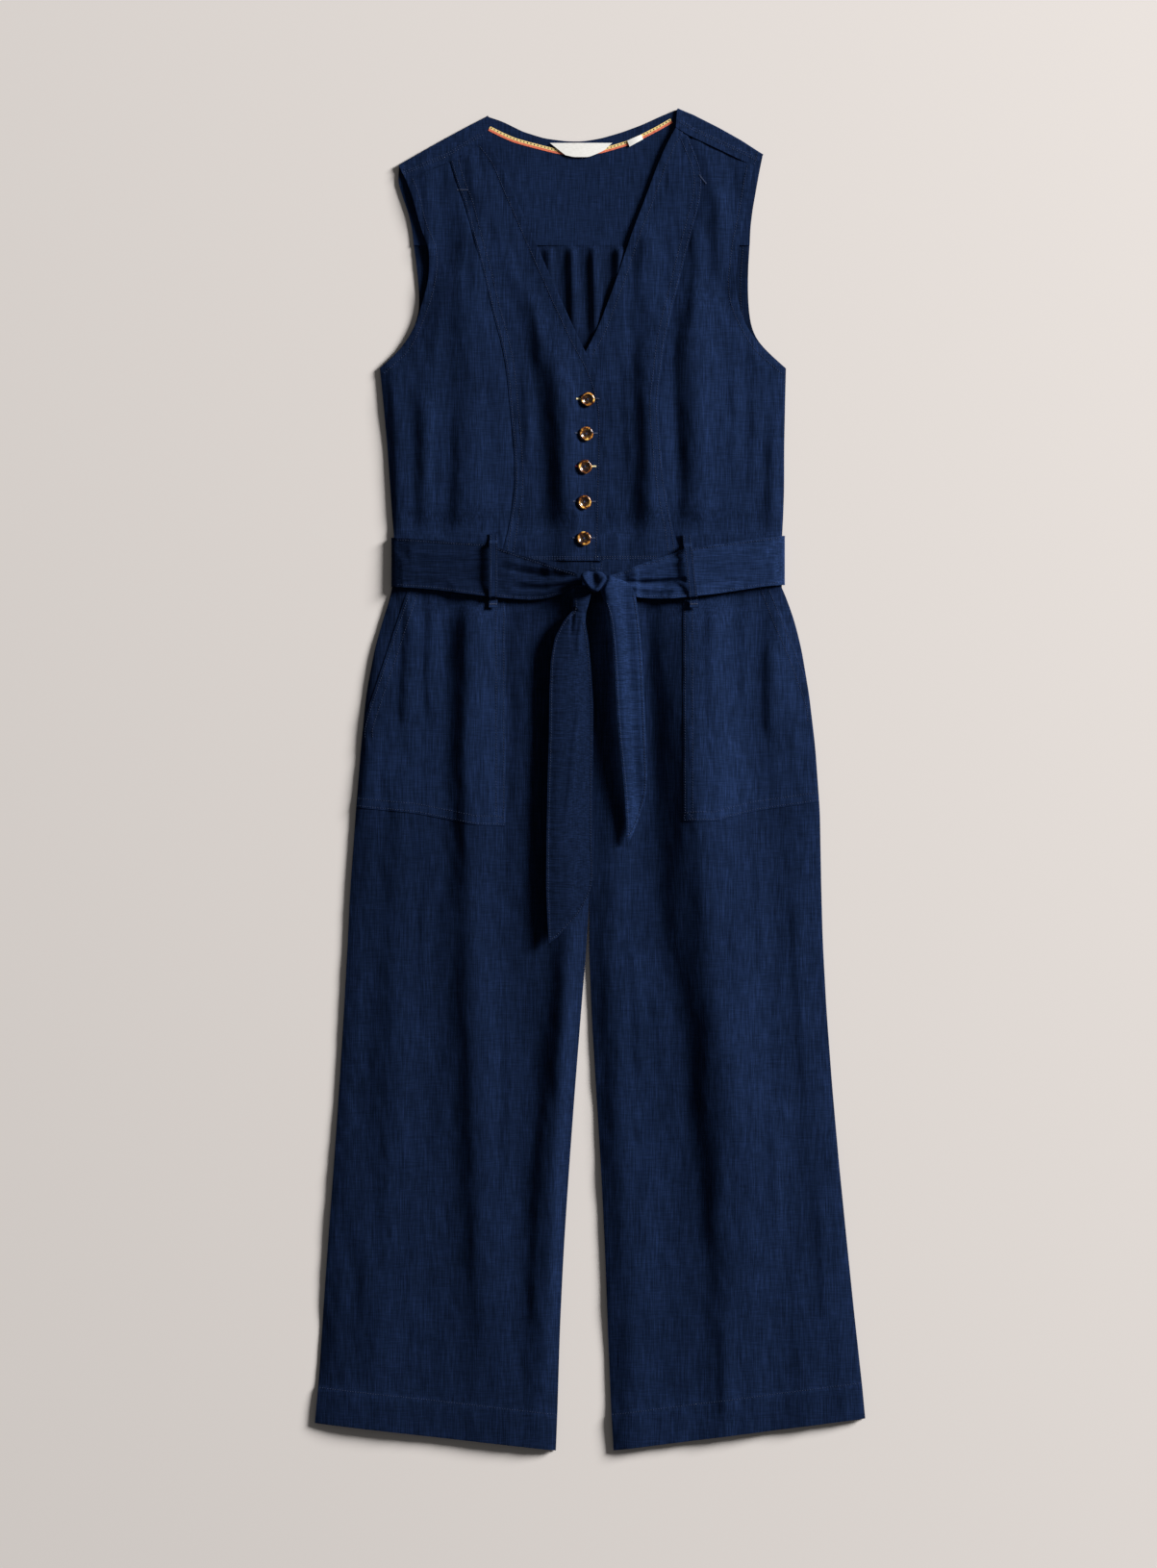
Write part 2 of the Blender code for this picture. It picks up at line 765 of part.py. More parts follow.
def leg_spot(rows, across, along):
    """A point of a leg, from its right edge to its left edge as the wearer has them."""
    side_x, side_y, inner_x, inner_y, thick = section(rows, along, *Leg._fields)
    if side_x > inner_x:
        side_x, side_y, inner_x, inner_y = inner_x, inner_y, side_x, side_y
    return mix(side_x, inner_x, across), mix(side_y, inner_y, across), thick


def leg_front_under(rows, across, along):
    x, y, thick = leg_spot(rows, across, along)
    return x, y, front_under(x, y) + thick - CLOTH


def leg_front_upper(rows, across, along):
    x, y, z = leg_front_under(rows, across, along)
    return x, y, z + leg_spot(rows, across, along)[2]


def leg_front(name, rows, made_of):
    return cloth(
        name,
        LEG_COLUMNS,
        len(rows) - 1,
        lambda across, along: leg_front_under(rows, across, along),
        lambda across, along: leg_front_upper(rows, across, along),
        made_of,
    )


def leg_back(name, rows, made_of):
    """The back of a leg lies flat, and steps over the belt."""

    def lower(across, along):
        x, y, _ = leg_spot(rows, across, along)
        return x, y, back_under(y)

    def upper(across, along):
        x, y, thick = leg_spot(rows, across, along)
        return x, y, back_under(y) + thick

    return cloth(name, LEG_BACK_COLUMNS, len(rows) - 1, lower, upper, made_of)


def gather_height(x, y):
    """The gathers below the back yoke, deepest at its seam."""
    spread = 1 - ease((abs(x - GATHER_MIDDLE) - GATHER_REACH * 0.6) / (GATHER_REACH * 0.4))
    length = 1 - ease((YOKE_SEAM - y) / GATHER_LENGTH)
    wave = (1 + math.cos(2 * math.pi * (x - GATHER_MIDDLE + GATHER_PITCH / 2) / GATHER_PITCH)) / 2
    return GATHER_RISE * spread * length * wave


def back_bodice(made_of):
    """The back below the yoke, with narrow columns in the middle for its gathers."""
    columns = GATHER_COLUMNS + 2 * BACK_SIDE_COLUMNS

    def share(across):
        """Evens out into wide columns at the sides and narrow ones in the middle."""
        index = across * columns
        if index < BACK_SIDE_COLUMNS:
            return GATHER_FROM * index / BACK_SIDE_COLUMNS
        if index > BACK_SIDE_COLUMNS + GATHER_COLUMNS:
            return 1 - (1 - GATHER_TO) * (columns - index) / BACK_SIDE_COLUMNS
        return mix(GATHER_FROM, GATHER_TO, (index - BACK_SIDE_COLUMNS) / GATHER_COLUMNS)

    def lower(across, along):
        y, right, left = section(BACK, along, "y", "right", "left")
        return mix(right, left, share(across)), y, back_under(y)

    def upper(across, along):
        x, y, z = lower(across, along)
        return x, y, z + CLOTH + gather_height(x, y)

    return cloth("back_bodice", columns, len(BACK) - 1, lower, upper, made_of)


def back_yoke(made_of):
    """One piece for the upper back, which folds over both shoulders to a seam on the front."""
    edge = STRAP_RIGHT + NECKLINE + STRAP_LEFT
    columns = len(edge) - 1
    rows = YOKE_ROWS + FOLD_STEPS + STRAP_STEPS
    radius = FOLD_GAP / 2
    made = grid(columns, rows)

    def is_strap(column):
        return column < len(STRAP_RIGHT) or column > columns - len(STRAP_LEFT)

    def outward(column):
        strap = STRAP_RIGHT if column < len(STRAP_RIGHT) else STRAP_LEFT
        along = Vector((strap[-1].fold_x - strap[0].fold_x, strap[-1].fold_y - strap[0].fold_y))
        return Vector((-along.y, along.x)).normalized()

    def top_point(column):
        item = edge[column]
        if not is_strap(column):
            return Vector(item)
        return Vector((item.fold_x, item.fold_y)) - outward(column) * (radius + CLOTH)

    def back_point(column, up):
        """A point of the back, from its seam, 0, to its upper edge, 1, bowed by the armholes."""
        share = column / columns
        bottom = Vector((mix(YOKE_RIGHT[0].x, YOKE_LEFT[0].x, share), YOKE_RIGHT[0].y))
        point = bottom.lerp(top_point(column), up)
        for armhole, weight in ((YOKE_RIGHT, 1 - share), (YOKE_LEFT, share)):
            curve = section(armhole, up, "x")[0]
            point.x += (curve - mix(armhole[0].x, armhole[-1].x, up)) * weight
        return point

    def where(across, along, face):
        """face is 0 on the inside of the garment and 1 on its outside."""
        column = round(across * columns)
        row = round((1 - along) * rows)
        if row <= YOKE_ROWS:
            point = back_point(column, row / YOKE_ROWS)
            return point.x, point.y, CLOTH * (1 - face)
        item = edge[column]
        centre = top_point(column)
        if row <= YOKE_ROWS + FOLD_STEPS:
            angle = math.pi * ((row - YOKE_ROWS) / FOLD_STEPS - 0.5)
            reach = radius + CLOTH * face
            point = centre + outward(column) * reach * math.cos(angle) if is_strap(column) else centre
            return point.x, point.y, CLOTH + radius + reach * math.sin(angle)
        down = (row - YOKE_ROWS - FOLD_STEPS) / STRAP_STEPS
        seam = Vector((item.seam_x, item.seam_y + SEAM)) if is_strap(column) else centre
        point = centre.lerp(seam, down)
        height = mix(CLOTH + FOLD_GAP, front_under(seam.x, seam.y), ease(down))
        return point.x, point.y, height + CLOTH * face

    place(made, made.verts, lambda across, along: where(across, along, 0))
    across = made.verts.layers.float["across"]
    along = made.verts.layers.float["along"]
    open_neck = []
    for face in made.faces:
        middle = sum(vert[across] for vert in face.verts) / 4 * columns
        row = (1 - sum(vert[along] for vert in face.verts) / 4) * rows
        if row > YOKE_ROWS and len(STRAP_RIGHT) - 1 < middle < columns - len(STRAP_LEFT) + 1:
            open_neck.append(face)
    bmesh.ops.delete(made, geom=open_neck, context="FACES")
    thicken(made, lambda across, along: where(across, along, 1))
    return finish("back_yoke", made, made_of)


def cut_away(made, start, end):
    """Cuts a sheet along the line from start to end, in plan, and drops what lies to its left."""
    along = Vector((end.x - start.x, end.y - start.y, 0)).normalized()
    bmesh.ops.bisect_plane(
        made,
        geom=made.verts[:] + made.edges[:] + made.faces[:],
        dist=CUT_SNAP * MM,
        plane_co=Vector((start.x, start.y, 0)) * MM,
        plane_no=Vector((-along.y, along.x, 0)),
        clear_outer=True,
    )


def pocket(name, rows, cuts, made_of):
    """A patch cut from the same points as the leg it lies on, and moved out over it."""
    made = grid(LEG_COLUMNS, len(rows) - 1)
    place(made, made.verts, lambda across, along: leg_front_upper(rows, across, along))
    bmesh.ops.triangulate(made, faces=made.faces, quad_method="FIXED")
    for start, end in cuts:
        cut_away(made, start, end)
    bmesh.ops.translate(made, verts=made.verts, vec=(0, 0, SEAM * MM))
    copied = bmesh.ops.extrude_face_region(made, geom=made.faces[:])
    verts = [item for item in copied["geom"] if isinstance(item, bmesh.types.BMVert)]
    bmesh.ops.translate(made, verts=verts, vec=(0, 0, CLOTH * MM))
    return finish(name, made, made_of)


def belt_front(name, stretch, side, made_of):
    """A front stretch of the belt, which turns round the side of the waist and a little under it."""
    outer = stretch[0]
    steps = BELT_STEPS * (len(stretch) - 1)
    rows = steps + BELT_TURN_STEPS + 1
    low = BELT_CLOTH
    high = front_under(outer.x, WAIST) + CLOTH + SEAM
    radius = (high - low) / 2
    reach = abs(stretch[1].x - stretch[2].x) / BELT_STEPS

    def where(across, along, face):
        row = round(along * rows)
        if row <= steps:
            x, top, bottom, lift = section(stretch, 1 - row / steps, *Band._fields)
            y = mix(top, bottom, across)
            rest = high if row == steps else resting(x, y, reach, BELT_REACH)
            return x, y, rest + SEAM + lift + BELT_CLOTH * face
        y = mix(outer.top, outer.bottom, across)
        if row <= steps + BELT_TURN_STEPS:
            angle = math.pi * (0.5 - (row - steps) / BELT_TURN_STEPS)
            out = radius + BELT_CLOTH * face
            return outer.x + side * out * math.cos(angle), y, low + radius + out * math.sin(angle)
        return outer.x - side * BELT_UNDER, y, low - BELT_CLOTH * face

    made = grid(BELT_COLUMNS, rows)
    place(made, made.verts, lambda across, along: where(across, along, 0))
    thicken(made, lambda across, along: where(across, along, 1))
    return finish(name, made, made_of)


def belt_back(made_of):
    """The back stretch of the belt, flat under the waist."""
    right = BELT_RIGHT[0]
    left = BELT_LEFT[0]
    start = right.x + BELT_UNDER + SEAM
    end = left.x - BELT_UNDER - SEAM

    def where(across, along, z):
        top = mix(right.top, left.top, across)
        bottom = mix(right.bottom, left.bottom, across)
        return mix(start, end, across), mix(top, bottom, along), z

    return cloth(
        "belt_back",
        BELT_BACK_COLUMNS,
        1,
        lambda across, along: where(across, along, 0.0),
        lambda across, along: where(across, along, BELT_CLOTH),
        made_of,
    )


def tail(name, rows, made_of):
    """A free end of the belt, arched a little along its middle."""

    def lower(across, along):
        right_x, right_y, left_x, left_y, lift, arch = section(rows, along, *Tail._fields)
        x = mix(right_x, left_x, across)
        y = mix(right_y, left_y, across)
        looks = (right_x, (right_x + left_x) / 2, left_x)
        over = max(resting(look, y, TAIL_REACH_X, TAIL_REACH_Y) for look in looks)
        return x, y, over + lift + arch * (1 - (2 * across - 1) ** 2)

    def upper(across, along):
        x, y, z = lower(across, along)
        return x, y, z + BELT_CLOTH

    return cloth(name, TAIL_COLUMNS, len(rows) - 1, lower, upper, made_of)


def knot(made_of):
    """The knot, one rounded lump with the groove between the two arms of its wrap."""
    base = resting(KNOT_TOP_X, KNOT_Y, KNOT_WIDTH / 2, KNOT_LENGTH / 2) + KNOT_BASE
    made = bmesh.new()
    bmesh.ops.create_uvsphere(made, u_segments=KNOT_SEGMENTS, v_segments=KNOT_RINGS, radius=1.0)
    for vert in made.verts:
        fullness = max(abs(share) for share in vert.co) ** KNOT_ROUNDNESS
        across, along, up = vert.co / fullness
        higher = (along + 1) / 2
        groove = math.exp(-((vert.co.x / KNOT_GROOVE_WIDTH) ** 2)) * max(vert.co.z, 0) * higher
        half_width = mix(KNOT_TAPER, 1, ease(higher * KNOT_TAPER_RATE)) * KNOT_WIDTH / 2
        x = mix(KNOT_BOTTOM_X, KNOT_TOP_X, higher) + across * half_width
        y = KNOT_Y + along * KNOT_LENGTH / 2
        z = base + (1 + up * (1 - KNOT_GROOVE * groove)) * KNOT_HEIGHT / 2
        vert.co = Vector((x, y, z)) * MM
    return finish("belt_knot", made, made_of)


def belt_loop(name, loop, made_of):
    """A narrow loop sewn above and below the belt and passing over it."""
    stretch = BELT_RIGHT if loop.top_x < 0 else BELT_LEFT
    near = min(stretch, key=lambda band: abs(band.x - loop.top_x))
    edges = {None: 0, "top": near.top, "middle": (near.top + near.bottom) / 2, "bottom": near.bottom}
    heights = [edges[station.from_edge] + station.y for station in LOOP_STATIONS]
    over_belt = BELT_LAYER + 2 * SEAM + near.lift
    over_belt += max(
        resting(near.x + look, y, LOOP_LOOK_REACH, BELT_REACH)
        for look in LOOP_LOOKS
        for y, station in zip(heights, LOOP_STATIONS)
        if station.raised
    )

    def lower(across, along):
        index = round(along * (len(LOOP_STATIONS) - 1))
        y = heights[index]
        share = (heights[0] - y) / (heights[0] - heights[-1])
        x = mix(loop.top_x, loop.bottom_x, share) + (across - 0.5) * LOOP_WIDTH
        if LOOP_STATIONS[index].raised:
            return x, y, over_belt
        return x, y, resting(x, y, LOOP_REACH_X, LOOP_REACH_Y)

    def upper(across, along):
        x, y, z = lower(across, along)
        return x, y, z + LOOP_CLOTH

    return cloth(name, 2, len(LOOP_STATIONS) - 1, lower, upper, made_of)


def button(name, centre, made_of):
    """A turned button with a raised rim and a dished middle, tilted as the cloth under it is."""
    half = BUTTON_RADIUS
    tilt_x = (front_top(centre.x + half, centre.y) - front_top(centre.x - half, centre.y)) / (2 * half)
    tilt_y = (front_top(centre.x, centre.y + half) - front_top(centre.x, centre.y - half)) / (2 * half)
    base = SEAM + max(
        front_top(centre.x + x * half, centre.y + y * half) - (tilt_x * x + tilt_y * y) * half
        for x in (-1, -0.5, 0, 0.5, 1)
        for y in (-1, 0, 1)
    )
    made = bmesh.new()
    verts = []
    for turn in BUTTON_OUTLINE:
        corner = Vector((turn.out * BUTTON_RADIUS, 0, base + turn.up * BUTTON_HEIGHT)) * MM
        verts.append(made.verts.new(corner))
    edges = [made.edges.new(pair) for pair in zip(verts, verts[1:])]
    bmesh.ops.spin(
        made,
        geom=verts + edges,
        axis=(0, 0, 1),
        cent=(0, 0, 0),
        steps=BUTTON_SIDES,
        angle=2 * math.pi,
        use_merge=True,
    )
    bmesh.ops.remove_doubles(made, verts=made.verts, dist=0.001 * MM)
    for vert in made.verts:
        vert.co.z += tilt_x * vert.co.x + tilt_y * vert.co.y
    bmesh.ops.translate(made, verts=made.verts, vec=(centre.x * MM, centre.y * MM, 0))
    return finish(name, made, made_of)


def neck_tape(made_of):
    """The tape that covers the seam inside the back neck."""

    def where(across, along, z):
        point = Vector(section(TAPE, across, "x", "y"))
        before = Vector(section(TAPE, max(across - 0.05, 0), "x", "y"))
        after = Vector(section(TAPE, min(across + 0.05, 1), "x", "y"))
        along_tape = (after - before).normalized()
        out = Vector((-along_tape.y, along_tape.x))
        point += out * TAPE_WIDTH * (0.5 - along)
        return point.x, point.y, z

    base = CLOTH + SEAM
    return cloth(
        "neck_tape",
        len(TAPE) - 1,
        1,
        lambda across, along: where(across, along, base),
        lambda across, along: where(across, along, base + TAPE_CLOTH),
        made_of,
    )


def label(name, points, made_of):
    """A flat label sewn over the tape, extruded from its outline."""
    base = CLOTH + SEAM + TAPE_CLOTH + SEAM
    made = bmesh.new()
    verts = [made.verts.new(Vector((point.x, point.y, base)) * MM) for point in points]
    made.faces.new(verts)
    copied = bmesh.ops.extrude_face_region(made, geom=made.faces[:])
    top = [item for item in copied["geom"] if isinstance(item, bmesh.types.BMVert)]
    bmesh.ops.translate(made, verts=top, vec=(0, 0, LABEL_CLOTH * MM))
    return finish(name, made, made_of)


def main():
    for old in list(bpy.data.objects):
        bpy.data.objects.remove(old, do_unlink=True)
    linen = material("linen", NAVY, 0.9)
    belting = material("belt linen", NAVY_LIGHT, 0.9)
    horn = material("horn button", HORN, 0.35)
    tape_cloth = material("printed tape", CREAM, 0.85)
    label_cloth = material("label satin", WHITE, 0.6)

    back_yoke(linen)
    back_bodice(linen)
    leg_back("back_leg_right", LEG_RIGHT, linen)
    leg_back("back_leg_left", LEG_LEFT, linen)

    bodice_panel("front_side_right", BODICE_RIGHT, "side", "seam", no_step, linen)
    bodice_panel("front_centre_right", BODICE_RIGHT, "seam", "edge", overlap_step, linen)
    bodice_panel("front_centre_left", BODICE_LEFT, "edge", "seam", underlap_step, linen)
    bodice_panel("front_side_left", BODICE_LEFT, "seam", "side", no_step, linen)
    leg_front("front_leg_right", LEG_RIGHT, linen)
    leg_front("front_leg_left", LEG_LEFT, linen)

    right_cuts = tuple(zip(POCKET_RIGHT, POCKET_RIGHT[1:]))
    left_cuts = tuple(zip(POCKET_LEFT[1:], POCKET_LEFT))
    pocket("pocket_right", LEG_RIGHT, right_cuts, linen)
    pocket("pocket_left", LEG_LEFT, left_cuts, linen)

    belt_front("belt_right", BELT_RIGHT, -1, belting)
    belt_front("belt_left", BELT_LEFT, 1, belting)
    belt_back(belting)
    tail("belt_tail_long", TAIL_LONG, belting)
    tail("belt_tail_short", TAIL_SHORT, belting)
    knot(belting)
    for side, loop in LOOPS.items():
        belt_loop("belt_loop_" + side, loop, linen)

    for number, centre in enumerate(BUTTONS, 1):
        button("button_" + str(number), centre, horn)
    neck_tape(tape_cloth)
    label("neck_label", NECK_LABEL, label_cloth)
    label("size_label", SIZE_LABEL, label_cloth)


main()
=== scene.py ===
# %% [markdown]
# # A sleeveless linen jumpsuit, laid out flat
#
# The sewn pieces already exist as plain solids in a shared frame. This notebook dresses them:
# each solid gives its outer face, which is cut finer, creased and finished as linen. Stitches,
# buttons, tape and labels follow, and then a floor, a light and a camera.
# Sizes are in millimetres until a mesh is placed, because that is how a maker measures.

# %% Load the frame
import math
from collections import namedtuple

import bmesh
import bpy
import numpy as np
from mathutils import Matrix, Vector
from mathutils.bvhtree import BVHTree
from mathutils.kdtree import KDTree


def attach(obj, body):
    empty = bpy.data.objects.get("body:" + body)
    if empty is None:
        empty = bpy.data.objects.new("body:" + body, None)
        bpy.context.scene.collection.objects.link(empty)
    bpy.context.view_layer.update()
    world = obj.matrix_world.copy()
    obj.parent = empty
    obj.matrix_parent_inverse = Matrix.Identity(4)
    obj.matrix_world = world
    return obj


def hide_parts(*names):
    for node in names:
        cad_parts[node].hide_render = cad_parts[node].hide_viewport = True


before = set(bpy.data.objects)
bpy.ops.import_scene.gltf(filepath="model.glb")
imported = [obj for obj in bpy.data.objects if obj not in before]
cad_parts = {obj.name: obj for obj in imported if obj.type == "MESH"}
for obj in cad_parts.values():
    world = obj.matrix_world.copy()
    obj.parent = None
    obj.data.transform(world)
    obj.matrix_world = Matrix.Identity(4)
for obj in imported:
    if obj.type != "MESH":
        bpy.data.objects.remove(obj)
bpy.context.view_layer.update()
MM = 0.001
print("the frame holds", len(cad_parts), "pieces")

# %% [markdown]
# ## Colour and nodes
#
# Colours are easiest to pick as the hex values of a paint chart. Blender's shaders count light,
# so one function turns each of those values to linear light. A second one adds a shader node and
# joins it to others, so that each material below reads as a short recipe.

# %% Colour and node helpers


def linear(hex_colour, strength=1.0):
    """An sRGB hex value as the linear colour that shaders use, made stronger or weaker."""
    shares = [int(hex_colour[place : place + 2], 16) / 255 for place in (1, 3, 5)]
    light = [share / 12.92 if share <= 0.04045 else ((share + 0.055) / 1.055) ** 2.4 for share in shares]
    return (*(value * strength for value in light), 1.0)


def add(tree, kind, inputs=None, **settings):
    """Adds a node with its settings. An input takes a value, or another node's output."""
    node = tree.nodes.new("ShaderNode" + kind)
    for name, value in settings.items():
        setattr(node, name, value)
    for socket, value in (inputs or {}).items():
        if isinstance(value, bpy.types.NodeSocket):
            tree.links.new(value, node.inputs[socket])
        else:
            node.inputs[socket].default_value = value
    return node


def new_material(name, **sockets):
    """A material, its tree and its shader, with values on the shader's own sockets."""
    made = bpy.data.materials.new(name)
    made.use_nodes = True
    shader = made.node_tree.nodes["Principled BSDF"]
    for socket, value in sockets.items():
        shader.inputs[socket.replace("_", " ")].default_value = value
    return made, made.node_tree, shader


def maths(tree, operation, *values):
    """The outcome of a sum on numbers or outputs of nodes."""
    return add(tree, "Math", dict(enumerate(values)), operation=operation).outputs[0]


def ramp(tree, source, *stops):
    """A colour ramp through pairs of place and colour."""
    made = add(tree, "ValToRGB", {"Fac": source})
    while len(made.color_ramp.elements) < len(stops):
        made.color_ramp.elements.new(1.0)
    for element, (place, colour) in zip(made.color_ramp.elements, stops):
        element.position = place
        element.color = colour
    return made.outputs["Color"]


# %% [markdown]
# ## Linen
#
# Linen is spun from flax, whose fibres vary in thickness. Woven plain, it shows thick and thin
# threads as fine streaks both ways, and it is matt with a faint bloom where light grazes it.
# One noise drawn long and narrow gives the warp, another the weft, and both drive colour and
# bump. Real threads lie 0.5 mm apart, too fine to see from here, so they are drawn 1 mm apart.

# %% The linen material
THREAD = 1.0
WARP_SLUB = 26.0
WEFT_SLUB = 13.0
CRINKLE = 4.5
CRINKLE_LONG = 38.0
CLOUD = 90.0
NAVY_DARK, NAVY, NAVY_LIGHT = "#091224", "#111D35", "#1A2848"


def linen(name, warp_along_x, strength):
    """Matt plain-weave linen: streaks of thick and thin thread over a softly clouded dye. The strength
    makes the whole copy lighter or darker, which is painted light and shade.
    """
    made, tree, shader = new_material(
        name,
        Roughness=0.92,
        Specular_IOR_Level=0.02,
        Sheen_Weight=0.03,
        Sheen_Roughness=0.6,
        Sheen_Tint=linear("#5C78B8"),
    )
    place = add(tree, "TexCoord").outputs["Object"]

    def streaks(across, along):
        """A noise this wide and this long, in mm."""
        size = (along, across, across) if warp_along_x else (across, along, across)
        scaled = add(tree, "Mapping", {"Vector": place, "Scale": [1 / (one * MM) for one in size]})
        inputs = {"Vector": scaled.outputs["Vector"], "Scale": 1.0, "Detail": 2.0, "Roughness": 0.6}
        return add(tree, "TexNoise", inputs).outputs["Fac"]

    warp = streaks(THREAD, WARP_SLUB)
    weft = streaks(WEFT_SLUB, THREAD)
    weave = add(tree, "Mix", {0: 0.33, 2: warp, 3: weft}, data_type="FLOAT").outputs[0]
    cloud = add(tree, "TexNoise", {"Vector": place, "Scale": 1 / (CLOUD * MM), "Detail": 3.0})
    yarn = ramp(
        tree,
        weave,
        (0.33, linear(NAVY_DARK, strength)),
        (0.5, linear(NAVY, strength)),
        (0.67, linear(NAVY_LIGHT, strength)),
    )
    dye = ramp(tree, cloud.outputs["Fac"], (0.3, linear("#EBEBEB")), (0.7, linear("#FFFFFF")))
    dyed = add(tree, "Mix", {0: 1.0, 6: yarn, 7: dye}, data_type="RGBA", blend_type="MULTIPLY")
    tree.links.new(dyed.outputs[2], shader.inputs["Base Color"])
    crinkle = {"Strength": 0.7, "Distance": 0.3 * MM, "Height": streaks(CRINKLE, CRINKLE_LONG)}
    creased = add(tree, "Bump", crinkle).outputs["Normal"]
    threads = {"Strength": 0.4, "Distance": 0.3 * MM, "Height": weave, "Normal": creased}
    tree.links.new(add(tree, "Bump", threads).outputs["Normal"], shader.inputs["Normal"])
    return made


# Copies of one linen. Their strengths are painted light and shade, set piece by piece: pieces on the
# wearer's left, towards the lamp, are painted lighter, and those on the right and the back bodice under the
# fronts darker; the belt's halves, ends and knot likewise.
LINEN_RIGHT = linen("navy_linen_right", False, 1.2)
LINEN_LEFT = linen("navy_linen_left", False, 1.37)
LINEN_BACK = linen("navy_linen_back", False, 1.3)
GATHERED_LINEN = linen("gathered_linen", False, 0.95)
LEG_LINEN_RIGHT = linen("leg_linen_right", False, 0.97)
LEG_LINEN_LEFT = linen("leg_linen_left", False, 1.15)
BELT_LINEN_RIGHT = linen("belt_linen_right", True, 0.8)
BELT_LINEN_LEFT = linen("belt_linen_left", True, 2.0)
BELT_LINEN_END = linen("belt_linen_end", True, 0.9)
KNOT_LINEN = linen("knot_linen", True, 1.3)
print("ten linens, the last four with their warp along the belt")

# %% [markdown]
# ## The outer face of a piece
#
# A piece of cloth is a thin wall: one face out, one face in, and a narrow rim between them. Only
# the outer face needs work, because Solidify can give it the thickness of the cloth again.
# The rim stands upright, so faces that look sideways are dropped, and of the two sheets left
# the one that holds the highest face is kept. Bisecting it with rows of planes then gives
# an even mesh of small squares, however uneven the solid's own faces are.

# %% Take the outer face
SPACING = 3.0
BELT_SPACING = 1.5
FINE_SPACING = 1.5
WELD = 0.01 * MM
UPRIGHT = 0.03
EXAMPLE = "front_centre_right"


def solid_of(node):
    """A node's solid, in a new bmesh."""
    made = bmesh.new()
    made.from_mesh(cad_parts[node].data)
    return made


def outer_face(node):
    """The outer face of a node's wall, in a new bmesh."""
    made = solid_of(node)
    bmesh.ops.remove_doubles(made, verts=made.verts, dist=WELD)
    made.normal_update()
    rim = [face for face in made.faces if abs(face.normal.z) < UPRIGHT]
    bmesh.ops.delete(made, geom=rim, context="FACES")
    seed = max(made.faces, key=lambda face: (face.normal.z > 0, face.calc_center_median().z))
    kept = {seed}
    growing = [seed]
    while growing:
        for edge in growing.pop().edges:
            for face in edge.link_faces:
                if face not in kept:
                    kept.add(face)
                    growing.append(face)
    bmesh.ops.delete(made, geom=[face for face in made.faces if face not in kept], context="FACES")
    return made


def refine(made, *spacings):
    """Cuts the mesh with planes across x, y and z, this far apart in mm."""
    for axis, spacing in enumerate(spacings):
        places = [vert.co[axis] for vert in made.verts]
        step = spacing * MM
        normal = [float(axis == other) for other in range(3)]
        for number in range(math.floor(min(places) / step) + 1, math.ceil(max(places) / step)):
            bmesh.ops.bisect_plane(
                made,
                geom=made.verts[:] + made.edges[:] + made.faces[:],
                dist=1e-7,
                plane_co=[number * step] * 3,
                plane_no=normal,
            )


example = outer_face(EXAMPLE)
print("the right centre front has", len(example.faces), "faces on its outer side")
example.free()

# %% [markdown]
# ## Rounding off the facets
#
# The solids have flat facets, so their outlines show slight corners where cloth would bend
# smoothly. Moving each point of the outline halfway to the middle of its two neighbours, several
# times over, rounds those off. Points where the outline turns sharply are real corners and stay.
# The outline is cut finer first, so each move is small. Curled pieces, such as the belt, get
# their face rounded off too, after it has followed the outline near it.

# %% Round the outline
CORNER = math.radians(25)
OUTLINE_ROUNDS = 12
OUTLINE_REACH = 14


def ease(value):
    """Runs smoothly from 0 to 1 as the value does."""
    value = np.clip(value, 0, 1)
    return value * value * (3 - 2 * value)


def rounded_outline(made, rounds):
    """The points of the outline and where they go when its facets are rounded off. Corners stay."""
    edge = [vert for vert in made.verts if vert.is_boundary]
    place_of = {vert: number for number, vert in enumerate(edge)}
    before = np.array([vert.co for vert in edge])
    ends = []
    for vert in edge:
        beside = [side.other_vert(vert) for side in vert.link_edges if side.is_boundary]
        ends.append([place_of[other] for other in beside[:2]])
    steps = before[ends] - before[:, None]
    lengths = np.linalg.norm(steps, axis=2)
    cosine = -np.sum(steps[:, 0] * steps[:, 1], axis=1) / (lengths[:, 0] * lengths[:, 1])
    soft = (cosine > math.cos(CORNER))[:, None]
    after = before
    for _ in range(rounds):
        after = np.where(soft, after / 2 + after[ends].mean(axis=1) / 2, after)
    return edge, after


def smooth(made, verts, rounds):
    """Draws points towards their neighbours, several times over."""
    for _ in range(rounds):
        bmesh.ops.smooth_vert(
            made, verts=verts, factor=0.5, use_axis_x=True, use_axis_y=True, use_axis_z=True
        )


def relax(made, rounds):
    """Rounds off the facets of a curled piece, first its outline and then its face."""
    edge, after = rounded_outline(made, rounds * 2)
    before = np.array([vert.co for vert in edge])
    tree = KDTree(len(edge))
    for number, vert in enumerate(edge):
        tree.insert(vert.co, number)
    tree.balance()
    found = [tree.find(vert.co) for vert in made.verts]
    shares = 1 - ease(np.array([gap for _, _, gap in found]) * 1000 / OUTLINE_REACH)
    shifts = (after - before)[[number for _, number, _ in found]] * shares[:, None]
    for vert, shift in zip(made.verts, shifts):
        vert.co += Vector(shift)
    smooth(made, [vert for vert in made.verts if not vert.is_boundary], rounds)


example = outer_face("neck_tape")
refine(example, FINE_SPACING, FINE_SPACING)
edge, after = rounded_outline(example, OUTLINE_ROUNDS)
moved = max((vert.co - Vector(spot)).length for vert, spot in zip(edge, after))
print("rounding moves the outline of the tape by up to", round(moved / MM, 2), "mm")
example.free()

